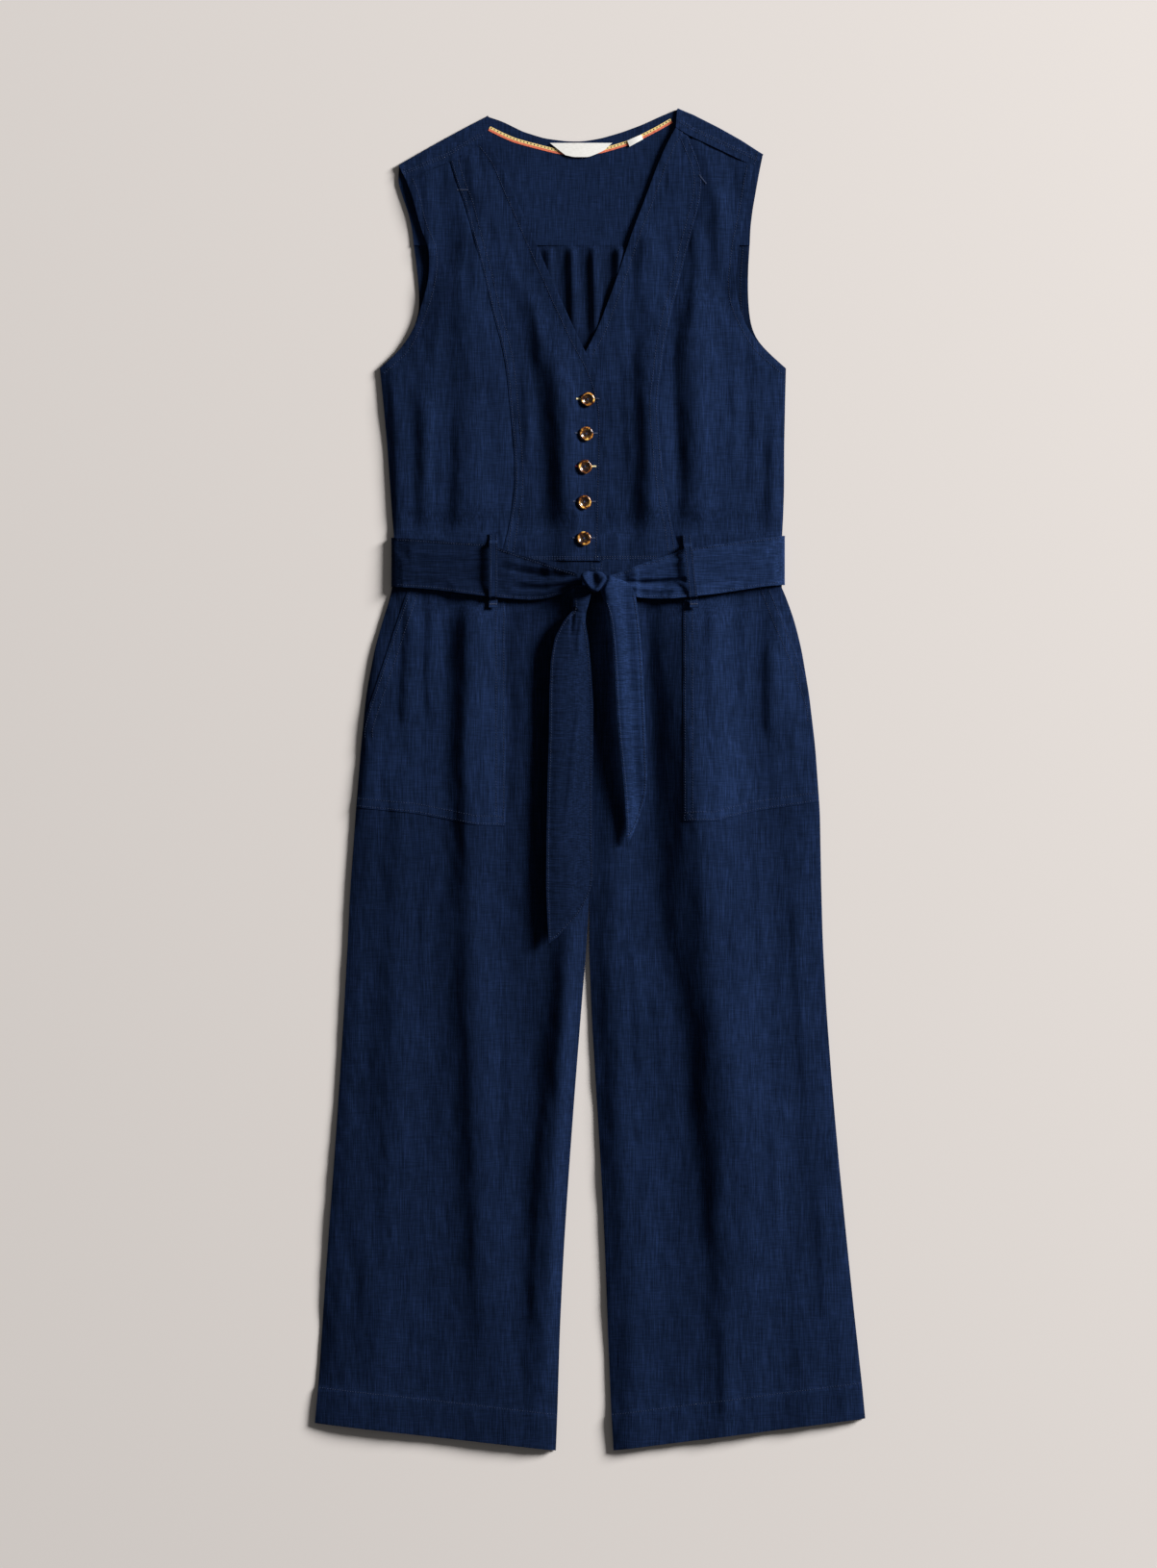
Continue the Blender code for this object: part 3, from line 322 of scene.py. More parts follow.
# %% [markdown]
# ## Laying a face flat
#
# Most panels lie flat, so their outline and their height can be made apart. The face is pressed
# to the table and joined into one polygon, and its outline is cut finer and rounded. Two insets
# then make a rim that falls away towards the edge, as turned cloth does, and the planes cut
# what lies inside it into even squares.

# %% Lay a face flat
RIM = ((0.8, 0.11), (1.4, 0.05))
EDGE_DROP = sum(rise for _, rise in RIM)
PRESSED = Matrix.Diagonal((1, 1, 0, 1))


def laid_face(node, spacing, fall=1, bend=None):
    """The outer face of a node that lies flat, pressed to z = 0: its outline, rounded, with a
    rim that falls away towards the edge, and inside it even squares."""
    made = outer_face(node)
    bmesh.ops.triangulate(made, faces=made.faces)
    bmesh.ops.transform(made, matrix=PRESSED, verts=made.verts)
    bmesh.ops.dissolve_faces(made, faces=made.faces[:], use_verts=False)
    if bend:
        bend(made, node)
    for side in made.edges[:]:
        cuts = round(side.calc_length() / (spacing * MM)) - 1
        if cuts > 0:
            bmesh.ops.subdivide_edges(made, edges=[side], cuts=cuts)
    for vert, spot in zip(*rounded_outline(made, OUTLINE_ROUNDS)):
        vert.co = Vector(spot)
    inside = made.faces[:]
    for thickness, rise in RIM:
        size = {"thickness": thickness * MM, "depth": rise * fall * MM}
        bmesh.ops.inset_region(made, faces=inside, use_boundary=True, **size)
    bmesh.ops.translate(made, vec=(0, 0, -EDGE_DROP * fall * MM), verts=made.verts)
    refine(made, spacing, spacing)
    return made


example = laid_face(EXAMPLE, SPACING)
print("laid flat and cut finer, the right centre front has", len(example.faces), "faces")
example.free()

# %% [markdown]
# ## Reading the heights
#
# The solid's facets would show as flat patches in low light. So its height is read on an even
# grid, and each height on it is averaged with its neighbours' several times. The height of any
# point of the cloth is then blended from the four points of the grid around it.

# %% Read the heights
FIELD = 3.0


def smooth_heights(node, spots, rounds):
    """The height of a solid's outer face at each spot, without its facets, in mm. It's read from
    an even grid, on which a point past the outline has the height of the nearest edge."""
    solid = outer_face(node)
    bmesh.ops.triangulate(solid, faces=solid.faces)
    solid.faces.ensure_lookup_table()
    flat = solid.copy()
    bmesh.ops.transform(flat, matrix=PRESSED, verts=flat.verts)
    tree = BVHTree.FromBMesh(flat)
    flat.free()
    low = spots.min(0) - FIELD
    across, along = np.ceil((spots.max(0) + FIELD - low) / FIELD).astype(int) + 1
    grid = np.empty((across, along))
    for column in range(across):
        for row in range(along):
            spot = Vector((low[0] + column * FIELD, low[1] + row * FIELD, 0)) * MM
            nearest, _, number, _ = tree.find_nearest(spot)
            face = solid.faces[number]
            away = nearest - face.verts[0].co
            fall = (away.x * face.normal.x + away.y * face.normal.y) / face.normal.z
            grid[column, row] = (face.verts[0].co.z - fall) * 1000
    solid.free()
    for _ in range(rounds):
        for _ in range(2):
            wide = np.pad(grid, ((1, 1), (0, 0)), mode="edge")
            grid = ((wide[:-2] + wide[2:]) / 4 + grid / 2).T
    step, share = np.divmod((spots - low) / FIELD, 1)
    column, row = step.astype(int).T
    near = grid[column, row] * (1 - share[:, 1]) + grid[column, row + 1] * share[:, 1]
    far = grid[column + 1, row] * (1 - share[:, 1]) + grid[column + 1, row + 1] * share[:, 1]
    return near * (1 - share[:, 0]) + far * share[:, 0]


height = smooth_heights(EXAMPLE, np.array([(-40.0, 400.0)]), 6)[0]
print("at its middle the right centre front lies", round(height, 1), "mm high")

# %% [markdown]
# ## Paths over the cloth
#
# Seams, edges and creases are all lines on the cloth. Each is a few points joined by one smooth
# curve, a Catmull-Rom spline, because it passes through every point that it is given.
# Measuring how far each point of the cloth lies from such a line, and how far along, lets one
# small function raise a crease, press an edge or pucker a seam.

# %% Curves and distances


def curve(points, spacing=3.0):
    """A smooth line through the points, as an array with a point about every spacing."""
    known = np.array([points[0], *points, points[-1]], float)
    line = []
    for before, start, end, after in zip(known, known[1:], known[2:], known[3:]):
        steps = max(1, int(np.linalg.norm(end - start) / spacing))
        for share in np.arange(steps)[:, None] / steps:
            square = 2 * before - 5 * start + 4 * end - after
            cube = 3 * start - before - 3 * end + after
            sums = 2 * start + (end - before) * share + square * share**2 + cube * share**3
            line.append(0.5 * sums)
    return np.array([*line, known[-1]])


def straight(points, spacing=10.0):
    """The same path with more points on each stretch, so that a curve through them hardly bulges."""
    path = [points[0]]
    for start, end in zip(points, points[1:]):
        steps = max(1, round(math.dist(start, end) / spacing))
        shares = [(step + 1) / steps for step in range(steps)]
        path += [tuple(a + (b - a) * share for a, b in zip(start, end)) for share in shares]
    return tuple(path)


def measure(spots, line):
    """How far each spot lies from a line, signed with the wearer's left of a falling line as
    positive, how far along the line its nearest point is, as a share, and the way to that side."""
    best = np.full(len(spots), 1e9)
    aside = np.zeros((len(spots), 2))
    side = np.zeros(len(spots))
    along = np.zeros(len(spots))
    lengths = np.linalg.norm(np.diff(line, axis=0), axis=1)
    done = 0.0
    for start, end, length in zip(line, line[1:], lengths):
        step = end - start
        offset = spots - start
        share = np.clip(offset @ step / max(length**2, 1e-9), 0, 1)
        away = offset - share[:, None] * step
        distance = np.hypot(away[:, 0], away[:, 1])
        nearer = distance < best
        best = np.where(nearer, distance, best)
        cross = step[0] * offset[:, 1] - step[1] * offset[:, 0]
        side = np.where(nearer, np.sign(cross), side)
        along = np.where(nearer, done + share * length, along)
        aside[nearer] = (-step[1] / max(length, 1e-9), step[0] / max(length, 1e-9))
        done += length
    return best * side, along / max(done, 1e-9), aside


# %% [markdown]
# ## Creases
#
# Flat linen is never flat. It keeps the long soft folds in which it fell and sharp little creases
# from being pressed and packed. The solids hold the long folds already. Here each smaller crease
# is a named row in a table: how high it stands, how wide it is on its steep and on its gentle
# side, and the points it runs through. They are placed one by one, because real creases start at
# seams, pockets and the belt, where the cloth is held.

# %% The crease table
Crease = namedtuple("Crease", "rise steep gentle path")


def creases(*rows):
    """Creases from rows of how high, how steep and how gentle each is, and where it runs."""
    return [Crease(rise, steep, gentle, path) for rise, steep, gentle, *path in rows]


CREASES = creases(
    # the long folds of the bodice, made steeper
    (0.9, 14, 34, (-42, 475), (-35, 420), (-31, 370), (-30, 320), (-29, 245)),
    (1.8, 20, 34, (60, 470), (59, 400), (61, 330), (60, 235)),
    (1.4, 9, 36, (99, 510), (96, 440), (100, 380), (103, 330), (101, 235)),
    (1.2, 11, 20, (-177, 410), (-177, 330), (-177, 245)),
    (1.2, 12, 28, (-140, 410), (-139, 330), (-141, 245)),
    (2.4, 28, 44, (-110, 620), (-116, 540), (-114, 480), (-112, 400), (-114, 330), (-112, 240)),
    (1.8, 6, 24, (-212, 450), (-209, 400), (-206, 330), (-203, 240)),
    (1.2, 9, 12, (192, 380), (193, 310), (194, 245)),
    # right front of the bodice
    (1.0, 6, 16, (-160, 430), (-158, 360), (-161, 262)),
    (0.9, 6, 18, (-166, 560), (-160, 500), (-165, 450), (-160, 400)),
    (1.0, 5, 14, (-62, 520), (-56, 470), (-54, 430)),
    (1.0, 6, 12, (-72, 440), (-66, 380), (-70, 320)),
    (1.2, 5, 10, (-14, 300), (-15, 268), (-16, 236)),
    (-0.9, 8, 10, (-120, 620), (-128, 560), (-132, 500)),
    (1.3, 6, 16, (-175, 660), (-172, 600), (-170, 540)),
    (0.9, 5, 10, (-128, 664), (-126, 640), (-123, 612)),
    (0.8, 6, 14, (-104, 600), (-90, 550), (-76, 510)),
    # left front of the bodice
    (1.2, 5, 13, (40, 455), (38, 410), (41, 360), (40, 300)),
    (1.4, 24, 14, (66, 600), (64, 540), (64, 480)),
    (1.2, 6, 14, (150, 440), (153, 380), (150, 320)),
    (1.4, 8, 16, (110, 600), (112, 540), (108, 470)),
    (1.8, 12, 14, (134, 640), (136, 590), (138, 550), (140, 520)),
    (0.9, 5, 14, (60, 590), (54, 545), (50, 500)),
    (0.8, 6, 16, (172, 430), (174, 360), (172, 290)),
    # right leg
    (2.8, 14, 42, (-126, 230), (-129, 150), (-133, 30), (-131, -60), (-130, -140)),
    (1.4, 14, 38, (-130, -140), (-129, -230), (-124, -360), (-119, -470), (-115, -640)),
    (1.2, 12, 16, (-22, -150), (-27, -210), (-34, -290), (-42, -350)),
    (1.4, 12, 16, (-45, -320), (-50, -390), (-54, -440), (-57, -500)),
    (3.0, 14, 10, (-10, -150), (-18, -200), (-23, -254), (-34, -400), (-42, -540), (-46, -640)),
    (1.2, 10, 14, (-55, -470), (-57, -520), (-60, -590)),
    (0.8, 12, 24, (-208, -190), (-210, -300), (-214, -400), (-221, -520)),
    (2.2, 7, 22, (-191, 200), (-195, 110), (-198, 40)),
    (1.8, 7, 20, (-168, 210), (-171, 120), (-168, 50)),
    (1.0, 8, 16, (-80, 150), (-76, 60), (-80, -40), (-84, -140)),
    (1.4, 6, 20, (-222, 160), (-233, 90), (-238, 20), (-244, -60)),
    (0.9, 7, 14, (-170, -80), (-176, -150), (-178, -230)),
    (1.0, 7, 16, (-90, -240), (-86, -330), (-90, -420), (-86, -500)),
    (0.9, 8, 18, (-236, -460), (-240, -540), (-244, -620)),
    # left leg
    (3.6, 20, 24, (76, 260), (79, 133), (82, 71), (84, 10), (86, -51), (91, -133), (99, -205), (110, -290)),
    (
        *(3.0, 42, 66, (98, 260), (106, 100), (112, 0), (120, -100)),
        *((134, -200), (148, -320), (160, -440), (166, -600)),
    ),
    (1.4, 14, 24, (118, -290), (124, -370), (130, -450), (136, -530)),
    (1.2, 8, 18, (139, -560), (142, -620), (143, -690)),
    (1.8, 9, 14, (190, 160), (190, 100), (191, 35)),
    (1.1, 6, 14, (160, 180), (163, 120), (160, 60)),
    (1.4, 6, 16, (126, 206), (128, 110), (127, 40)),
    (1.1, 7, 16, (175, -60), (180, -140), (184, -220)),
    (1.2, 7, 16, (215, -90), (218, -180), (224, -270), (226, -360)),
    (1.2, 6, 16, (44, -160), (50, -250), (54, -340)),
    (1.0, 7, 14, (190, -330), (196, -420), (200, -500)),
    (1.0, 6, 14, (240, -420), (246, -510), (250, -590)),
)
GATHERS = creases(
    (2.6, 6, 9, (-45, 580), (-44, 550), (-42, 500)),
    (3.8, 7, 11, (-20, 582), (-19, 540), (-18, 500), (-18, 460)),
    (-1.4, 3, 4, (-14, 580), (-13, 550), (-13, 515)),
    (3.6, 6, 11, (4, 582), (4, 540), (5, 500), (5, 455)),
    (-1.3, 3, 4, (10, 580), (9, 555), (9, 520)),
    (3.6, 6, 10, (31, 582), (30, 545), (28, 490)),
    (2.0, 5, 8, (48, 580), (47, 555), (45, 520)),
)


def crease_height(spots, creases=CREASES):
    """The height that all the creases add at each spot, in mm."""
    height = np.zeros(len(spots))
    for crease in creases:
        line = curve(crease.path, 8.0)
        reach = max(crease.steep, crease.gentle)
        near = np.all((spots > line.min(0) - reach) & (spots < line.max(0) + reach), axis=1)
        distance, along, _ = measure(spots[near], line)
        width = np.where(distance < 0, crease.steep, crease.gentle)
        share = np.clip(1 - np.abs(distance) / width, 0, 1)
        fade = ease(along * 4) * ease((1 - along) * 4)
        height[near] += crease.rise * fade * ease(share)
    return height


print(len(CREASES), "creases by hand, and", len(GATHERS), "gathers under the yoke")

# %% [markdown]
# ## Crumple
#
# Between the creases the cloth still ripples a little, more along its length than across it.
# A lattice of fixed pseudo-random heights, blended smoothly, gives such ripples in a few lines
# and the same ones each time. Stretched lattices of three sizes are added up.

# %% The crumple
Ripple = namedtuple("Ripple", "rise across along turn")
RIPPLES = (
    Ripple(1.1, 34, 150, 0.04),
    Ripple(0.55, 15, 62, -0.10),
    Ripple(0.30, 8, 26, 0.25),
)


def lattice(spots, seed):
    """Smooth noise from -1 to 1, with one fixed height at each whole number."""
    cell = np.floor(spots)
    share = spots - cell
    share = share * share * (3 - 2 * share)

    def corner(step_x, step_y):
        value = np.sin((cell[:, 0] + step_x) * 127.1 + (cell[:, 1] + step_y) * 311.7 + seed * 74.7)
        return (value * 43758.5453) % 1.0

    low = corner(0, 0) * (1 - share[:, 0]) + corner(1, 0) * share[:, 0]
    high = corner(0, 1) * (1 - share[:, 0]) + corner(1, 1) * share[:, 0]
    return (low * (1 - share[:, 1]) + high * share[:, 1]) * 2 - 1


def crumple(spots):
    """Ripples of all sizes together, in mm."""
    height = np.zeros(len(spots))
    for seed, ripple in enumerate(RIPPLES, 1):
        cos, sin = math.cos(ripple.turn), math.sin(ripple.turn)
        turned = spots @ np.array(((cos, -sin), (sin, cos)))
        height += ripple.rise * lattice(turned / (ripple.across, ripple.along), seed)
    return height


print("crumple up to", round(sum(ripple.rise for ripple in RIPPLES), 2), "mm")

# %% [markdown]
# ## Where the cloth is held down
#
# The belt, its ends, its loops, the knot and the buttons press on what is under them. Relief
# has to fade out beneath them, or it would push through. A flat copy of each cover answers how
# far any spot is from it, and a spot under it is at no distance at all.

# %% Find what is under the covers
COVERS = ("belt_right", "belt_left", "belt_knot", "belt_tail_long", "belt_tail_short")
LOOP_COVERS = ("belt_loop_right", "belt_loop_left")
BUTTON_COVERS = tuple(f"button_{number}" for number in range(1, 6))
EASE_OUT = 9.0
SMALL_EASE_OUT = 5.0


def flat_tree(nodes):
    """A search tree over these nodes, pressed flat, in mm."""
    made = bmesh.new()
    for node in nodes:
        made.from_mesh(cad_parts[node].data)
    bmesh.ops.transform(made, matrix=Matrix.Diagonal((1000, 1000, 0, 1)), verts=made.verts)
    tree = BVHTree.FromBMesh(made)
    made.free()
    return tree


def gap_to(tree, spots):
    """How far each spot lies from the flat shapes in a tree, in mm."""
    return np.array([tree.find_nearest((x, y, 0.0))[3] for x, y in spots])


cover_tree = flat_tree(COVERS)
small_cover_tree = flat_tree(LOOP_COVERS + BUTTON_COVERS)


def freedom(spots):
    """From 0 where a cover holds the cloth down to 1 where it's free."""
    held = ease(gap_to(small_cover_tree, spots) / SMALL_EASE_OUT)
    return ease(gap_to(cover_tree, spots) / EASE_OUT) * held


print("free at the hem:", freedom([(150, -700)])[0], " and under the belt:", freedom([(150, 230)])[0])

# %% [markdown]
# ## Seams and stitched edges
#
# Where cloth is turned under and stitched, the doubled strip stands a little higher, and the
# thread pulls small puckers into it, because the thread is tighter than the cloth.
# The lines below are the sewing plan of the garment. Each has its points, the rows of stitches
# beside it as distances, and how high the turned strip stands. A positive distance lies on the
# wearer's left of a line that runs down the garment.

# %% The sewing plan
Seam = namedtuple("Seam", "on path rows strip rise pucker")
FRONTS = ("front_side_right", "front_centre_right", "front_centre_left", "front_side_left")
LEGS = ("front_leg_right", "front_leg_left")
PRINCESS_RIGHT = (
    (-148, 655), (-142, 634), (-133, 611), (-123, 573), (-112, 532), (-104, 498), (-95, 466),
    (-89, 436), (-85, 396), (-81, 352), (-80, 309), (-86, 266), (-90, 240),
)
PRINCESS_LEFT = (
    (104, 683), (118, 647), (118, 618), (112, 594), (102, 557), (93, 520), (87, 498), (80, 466),
    (76, 436), (72, 396), (75, 352), (80, 309), (88, 266), (92, 240),
)
ARMHOLE_RIGHT = (
    (-195, 635), (-188, 617), (-180, 586), (-170, 559), (-171, 530), (-180, 498), (-194, 466),
    (-204, 453), (-223, 436),
)
ARMHOLE_LEFT = (
    (174, 650), (171, 636), (164, 596), (158, 566), (154, 525), (159, 498), (176, 466),
    (188, 453), (207.5, 436),
)
NECK_RIGHT = (
    (-111, 677), (-96, 657), (-83, 627), (-68, 593), (-47, 545), (-26, 498), (-11, 466), (5, 436),
    (16, 402), (18, 380), (18, 352), (17, 309), (16, 266), (14, 232),
)
NECK_LEFT = (
    (91, 691), (81, 673), (71, 650), (59, 617), (45, 581), (28, 530), (16, 498), (9, 480),
    (2, 466), (-5, 453),
)
SHOULDER_RIGHT = ((-195, 635), (-171.5, 645), (-148, 655), (-129.5, 666), (-111, 677))
SHOULDER_LEFT = ((91, 691), (104, 683), (127.3, 672), (150.7, 661), (174, 650))
YOKE_ARM_RIGHT = (
    (-203.5, 652), (-204.5, 639), (-199, 621), (-193, 602), (-187, 567), (-181, 498), (-204, 453),
)
YOKE_ARM_LEFT = ((184, 663), (180, 645), (176.5, 626), (173, 606), (169.5, 567), (168, 498), (189, 453))
POCKET_EDGE_RIGHT = straight(((-89.5, 225), (-89.5, -49.5), (-123, -48.5), (-185, -36), (-249, -30)))
POCKET_EDGE_LEFT = straight(((98.5, 225), (98.5, -44.5), (132, -44.5), (174, -34), (249, -23)))
MOUTH_RIGHT = ((-186, 222), (-194, 199), (-216, 133), (-239.5, 62), (-241.5, 44))
MOUTH_LEFT = ((184, 222), (193.5, 200), (207, 166), (227, 118), (240, 80), (242, 62))
HEM_RIGHT = ((-292, -683), (-228, -690), (-164, -697), (-100, -704.5), (-36.2, -712))
HEM_LEFT = ((25, -712), (92, -703.5), (158, -695), (225, -686.5), (292, -678))
MIDDLE_SEAM = ((-0.5, 190), (-0.5, 60), (-0.5, -124))
WAIST_RIGHT = straight(((-66, 231.6), (14, 231.6)))
WAIST_LEFT = straight(((14, 231.6), (70, 231.6)))
PLACKET_BOX = straight(((2, 231), (2, 223.5), (12.5, 223.5), (12.5, 231)), 2.0)
BELTS = ("belt_right", "belt_left", "belt_tail_long", "belt_tail_short") + LOOP_COVERS
BELT_TOP_RIGHT = (
    (-205, 256), (-190, 255), (-165, 253.5), (-138, 251.5), (-110, 249.5), (-85, 241.5),
    (-62, 234), (-44, 228), (-28, 222.5), (-16, 219),
)
BELT_BOTTOM_RIGHT = (
    (-205, 204), (-190, 203), (-165, 201), (-138, 197.5), (-110, 194), (-85, 191.5), (-62, 190),
    (-44, 192), (-28, 197), (-16, 202),
)
BELT_TOP_LEFT = (
    (201, 258), (186, 256), (160, 252.5), (134, 249), (110, 245.5), (88, 239), (68, 232.5),
    (52, 227), (38, 221.5), (26, 217),
)
BELT_BOTTOM_LEFT = (
    (201, 206), (186, 204.5), (160, 200.5), (134, 196.5), (110, 194), (88, 191.5), (68, 191.5),
    (52, 192.5), (38, 195.5),
)
TAIL_LONG_EDGE = (
    (-17.5, 192), (-17.5, 179), (-27, 169), (-37, 150), (-41.5, 125), (-43, 90), (-43.5, 45),
    (-45, -5), (-46, -60), (-46.5, -115), (-45, -150), (-44, -170), (-38, -170), (-24, -157),
    (-9, -139), (3, -111), (3, -66), (3, -16), (3.5, 34), (3.5, 82), (1, 120), (-1.5, 146),
    (-5, 166),
)
TAIL_SHORT_EDGE = (
    (16, 186), (21.5, 167), (25, 130), (27.5, 88), (30, 50), (34, 10), (36.5, -16), (38.2, -45),
    (39, -62), (42, -62), (50, -47), (59, -18), (60.7, 4), (59, 45), (57.5, 84), (55.5, 126),
    (52.5, 163), (50, 184), (48, 195),
)
LOOP_RIGHT = straight(((-102, 259), (-102.5, 183)), 4.0)
LOOP_LEFT = straight(((102.5, 259), (110.5, 183)), 4.0)
SEAMS = (
    Seam(FRONTS[1:2], PRINCESS_RIGHT, (2.0, 8.5), 9.0, 0.15, 0.5),
    Seam(FRONTS[2:3], PRINCESS_LEFT, (-2.0, -8.5), 9.0, 0.15, 0.5),
    Seam(FRONTS[:1], ARMHOLE_RIGHT, (7.0,), 7.5, 0.45, 0.35),
    Seam(FRONTS[3:], ARMHOLE_LEFT, (-7.0,), 7.5, 0.45, 0.35),
    Seam(FRONTS[1:2], NECK_RIGHT, (-8.5,), 9.0, 0.5, 0.3),
    Seam(FRONTS[2:3], NECK_LEFT, (8.5,), 9.0, 0.5, 0.3),
    Seam(("back_yoke", "back_bodice"), YOKE_ARM_RIGHT, (7.0,), 7.5, 0.4, 0.25),
    Seam(("back_yoke", "back_bodice"), YOKE_ARM_LEFT, (-7.0,), 7.5, 0.4, 0.25),
    Seam(("back_yoke",), SHOULDER_RIGHT, (7.0, 9.5), 10.0, 0.45, 0.25),
    Seam(("back_yoke",), SHOULDER_LEFT, (7.0, 9.5), 10.0, 0.45, 0.25),
    Seam(("pocket_right",), POCKET_EDGE_RIGHT, (-2.0, -10.0), 11.0, 0.25, 0.4),
    Seam(("pocket_left",), POCKET_EDGE_LEFT, (2.0, 10.0), 11.0, 0.25, 0.4),
    Seam(("pocket_right",), MOUTH_RIGHT, (3.0, 11.0), 12.0, 0.35, 0.35),
    Seam(("pocket_left",), MOUTH_LEFT, (-3.0, -11.0), 12.0, 0.35, 0.35),
    Seam(LEGS[:1], HEM_RIGHT, (38.0,), 38.5, 0.7, 0.4),
    Seam(LEGS[1:], HEM_LEFT, (38.0,), 38.5, 0.7, 0.4),
    Seam(LEGS[:1], MIDDLE_SEAM, (-2.0, -8.0), 9.0, 0.4, 0.35),
    Seam(FRONTS[1:2], WAIST_RIGHT, (1.8, 4.0), 5.0, 0.15, 0.25),
    Seam(FRONTS[2:3], WAIST_LEFT, (2.4, 4.6), 5.0, 0.15, 0.25),
    Seam(LEGS[1:], PLACKET_BOX, (0.0,), 0.0, 0.0, 0.0),
    Seam(BELTS[:1], BELT_TOP_RIGHT, (-2.3,), 2.6, 0.45, 0.15),
    Seam(BELTS[:1], BELT_BOTTOM_RIGHT, (2.3,), 2.6, 0.45, 0.15),
    Seam(BELTS[1:2], BELT_TOP_LEFT, (2.3,), 2.6, 0.45, 0.15),
    Seam(BELTS[1:2], BELT_BOTTOM_LEFT, (-2.3,), 2.6, 0.45, 0.15),
    Seam(BELTS[2:3], TAIL_LONG_EDGE, (2.3,), 2.6, 0.45, 0.15),
    Seam(BELTS[3:4], TAIL_SHORT_EDGE, (2.3,), 2.6, 0.45, 0.15),
    Seam(BELTS[4:5], LOOP_RIGHT, (-3.0, 3.0), 0.0, 0.0, 0.0),
    Seam(BELTS[5:], LOOP_LEFT, (-3.0, 3.0), 0.0, 0.0, 0.0),
)


STRIP_EASE = 1.5
STRIP_STEP = 2.5
PUCKER_LONG = 7.3
PUCKER_DRIFT = 31
PUCKER_WIDE = 5.0


def stitch_line(seam, inset):
    """A row of stitches: the seam's line, moved to its side by the inset."""
    line = curve(seam.path, 2.0)
    tangent = np.gradient(line, axis=0)
    tangent /= np.maximum(np.linalg.norm(tangent, axis=1), 1e-9)[:, None]
    return line + inset * np.stack([-tangent[:, 1], tangent[:, 0]], axis=1)


def seam_height(node, spots):
    """What turned strips, seams and puckers add to a piece, in mm."""
    height = np.zeros(len(spots))
    for number, seam in enumerate(SEAMS):
        if node not in seam.on or not seam.strip:
            continue
        line = curve(seam.path, 4.0)
        reach = seam.strip + 12
        near = np.all((spots > line.min(0) - reach) & (spots < line.max(0) + reach), axis=1)
        distance, along, _ = measure(spots[near], line)
        length = np.linalg.norm(np.diff(line, axis=0), axis=1).sum()
        away = np.abs(distance)
        past = away - seam.strip + STRIP_EASE
        raised = seam.rise * (1 - ease(past / STRIP_STEP))
        drift = 2.1 * np.sin(along * length / PUCKER_DRIFT + number)
        wave = np.sin(along * length / PUCKER_LONG * math.tau + drift)
        depth = np.exp(-((past / PUCKER_WIDE) ** 2))
        height[near] += raised + seam.pucker * depth * (0.6 * wave - 0.5)
    return height


print(sum(len(seam.rows) for seam in SEAMS), "rows of stitches in the plan")

# %% [markdown]
# ## From solid to cloth
#
# Each panel now goes through the same steps: lay its outer face flat, lift it to the heights of
# its solid, add the relief, and give it a wall with Solidify. Its outer edges are marked sharp,
# so that the shading of the face doesn't run over the wall. Along a seam the edge slips under
# its neighbour's. The back lies on the table, so its relief only rises, and none of it may sink
# below the table. The yoke is curled, so it keeps the shape of its solid, and each pocket
# follows the leg beneath it.

# %% The parts of a piece of cloth
POCKET_STEP = 0.4
YOKE_PRESS = 7
USUAL = (SPACING, 6, 1.0, False)
Panel = namedtuple("Panel", "node dye spacing rounds cloth only_up", defaults=USUAL)
BACK_SPACING = 8.0
# Each panel's linen copy is lighter or darker as painted light and shade of where the panel lies.
PANELS = (
    Panel("back_leg_right", LEG_LINEN_RIGHT, BACK_SPACING, 3, 1.0, True),
    Panel("back_leg_left", LEG_LINEN_LEFT, BACK_SPACING, 3, 1.0, True),
    Panel("back_bodice", GATHERED_LINEN, SPACING, 4, 1.0, True),
    Panel("back_yoke", LINEN_BACK, SPACING, 4, 1.0, True),
    Panel("front_leg_right", LEG_LINEN_RIGHT),
    Panel("front_leg_left", LEG_LINEN_LEFT),
    Panel("front_side_right", LINEN_RIGHT),
    Panel("front_side_left", LINEN_LEFT),
    Panel("front_centre_left", LINEN_LEFT),
    Panel("front_centre_right", LINEN_RIGHT),
    Panel("pocket_right", LINEN_RIGHT, cloth=0.6),
    Panel("pocket_left", LINEN_LEFT, cloth=0.6),
)
BACK_RELIEF = 0.6
DOWN = Vector((0, 0, -1))
faces_of = {}
pieces = {}


def spots_of(made):
    """The points of a bmesh in mm, as columns x, y and z."""
    return np.array([vert.co for vert in made.verts]) * 1000


def set_heights(made, heights):
    """Gives every point of a bmesh its height, in mm."""
    for vert, height in zip(made.verts, heights):
        vert.co.z = height * MM


def mesh_from(made, name):
    """A mesh from a bmesh, which is freed."""
    mesh = bpy.data.meshes.new(name)
    made.to_mesh(mesh)
    made.free()
    return mesh


def in_scene(name, data):
    """An object in the scene, with this mesh, lamp or camera as its data."""
    item = bpy.data.objects.new(name, data)
    bpy.context.scene.collection.objects.link(item)
    return item


def place(made, name, material, slot, node=None):
    """Makes a piece from a bmesh, on its body, and for its node if it has one. The slot is not used."""
    mesh = mesh_from(made, name)
    mesh.materials.append(material)
    mesh.shade_smooth()
    piece = in_scene(name, mesh)
    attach(piece, "root")
    if node:
        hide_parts(node)
    pieces[name] = piece
    return piece


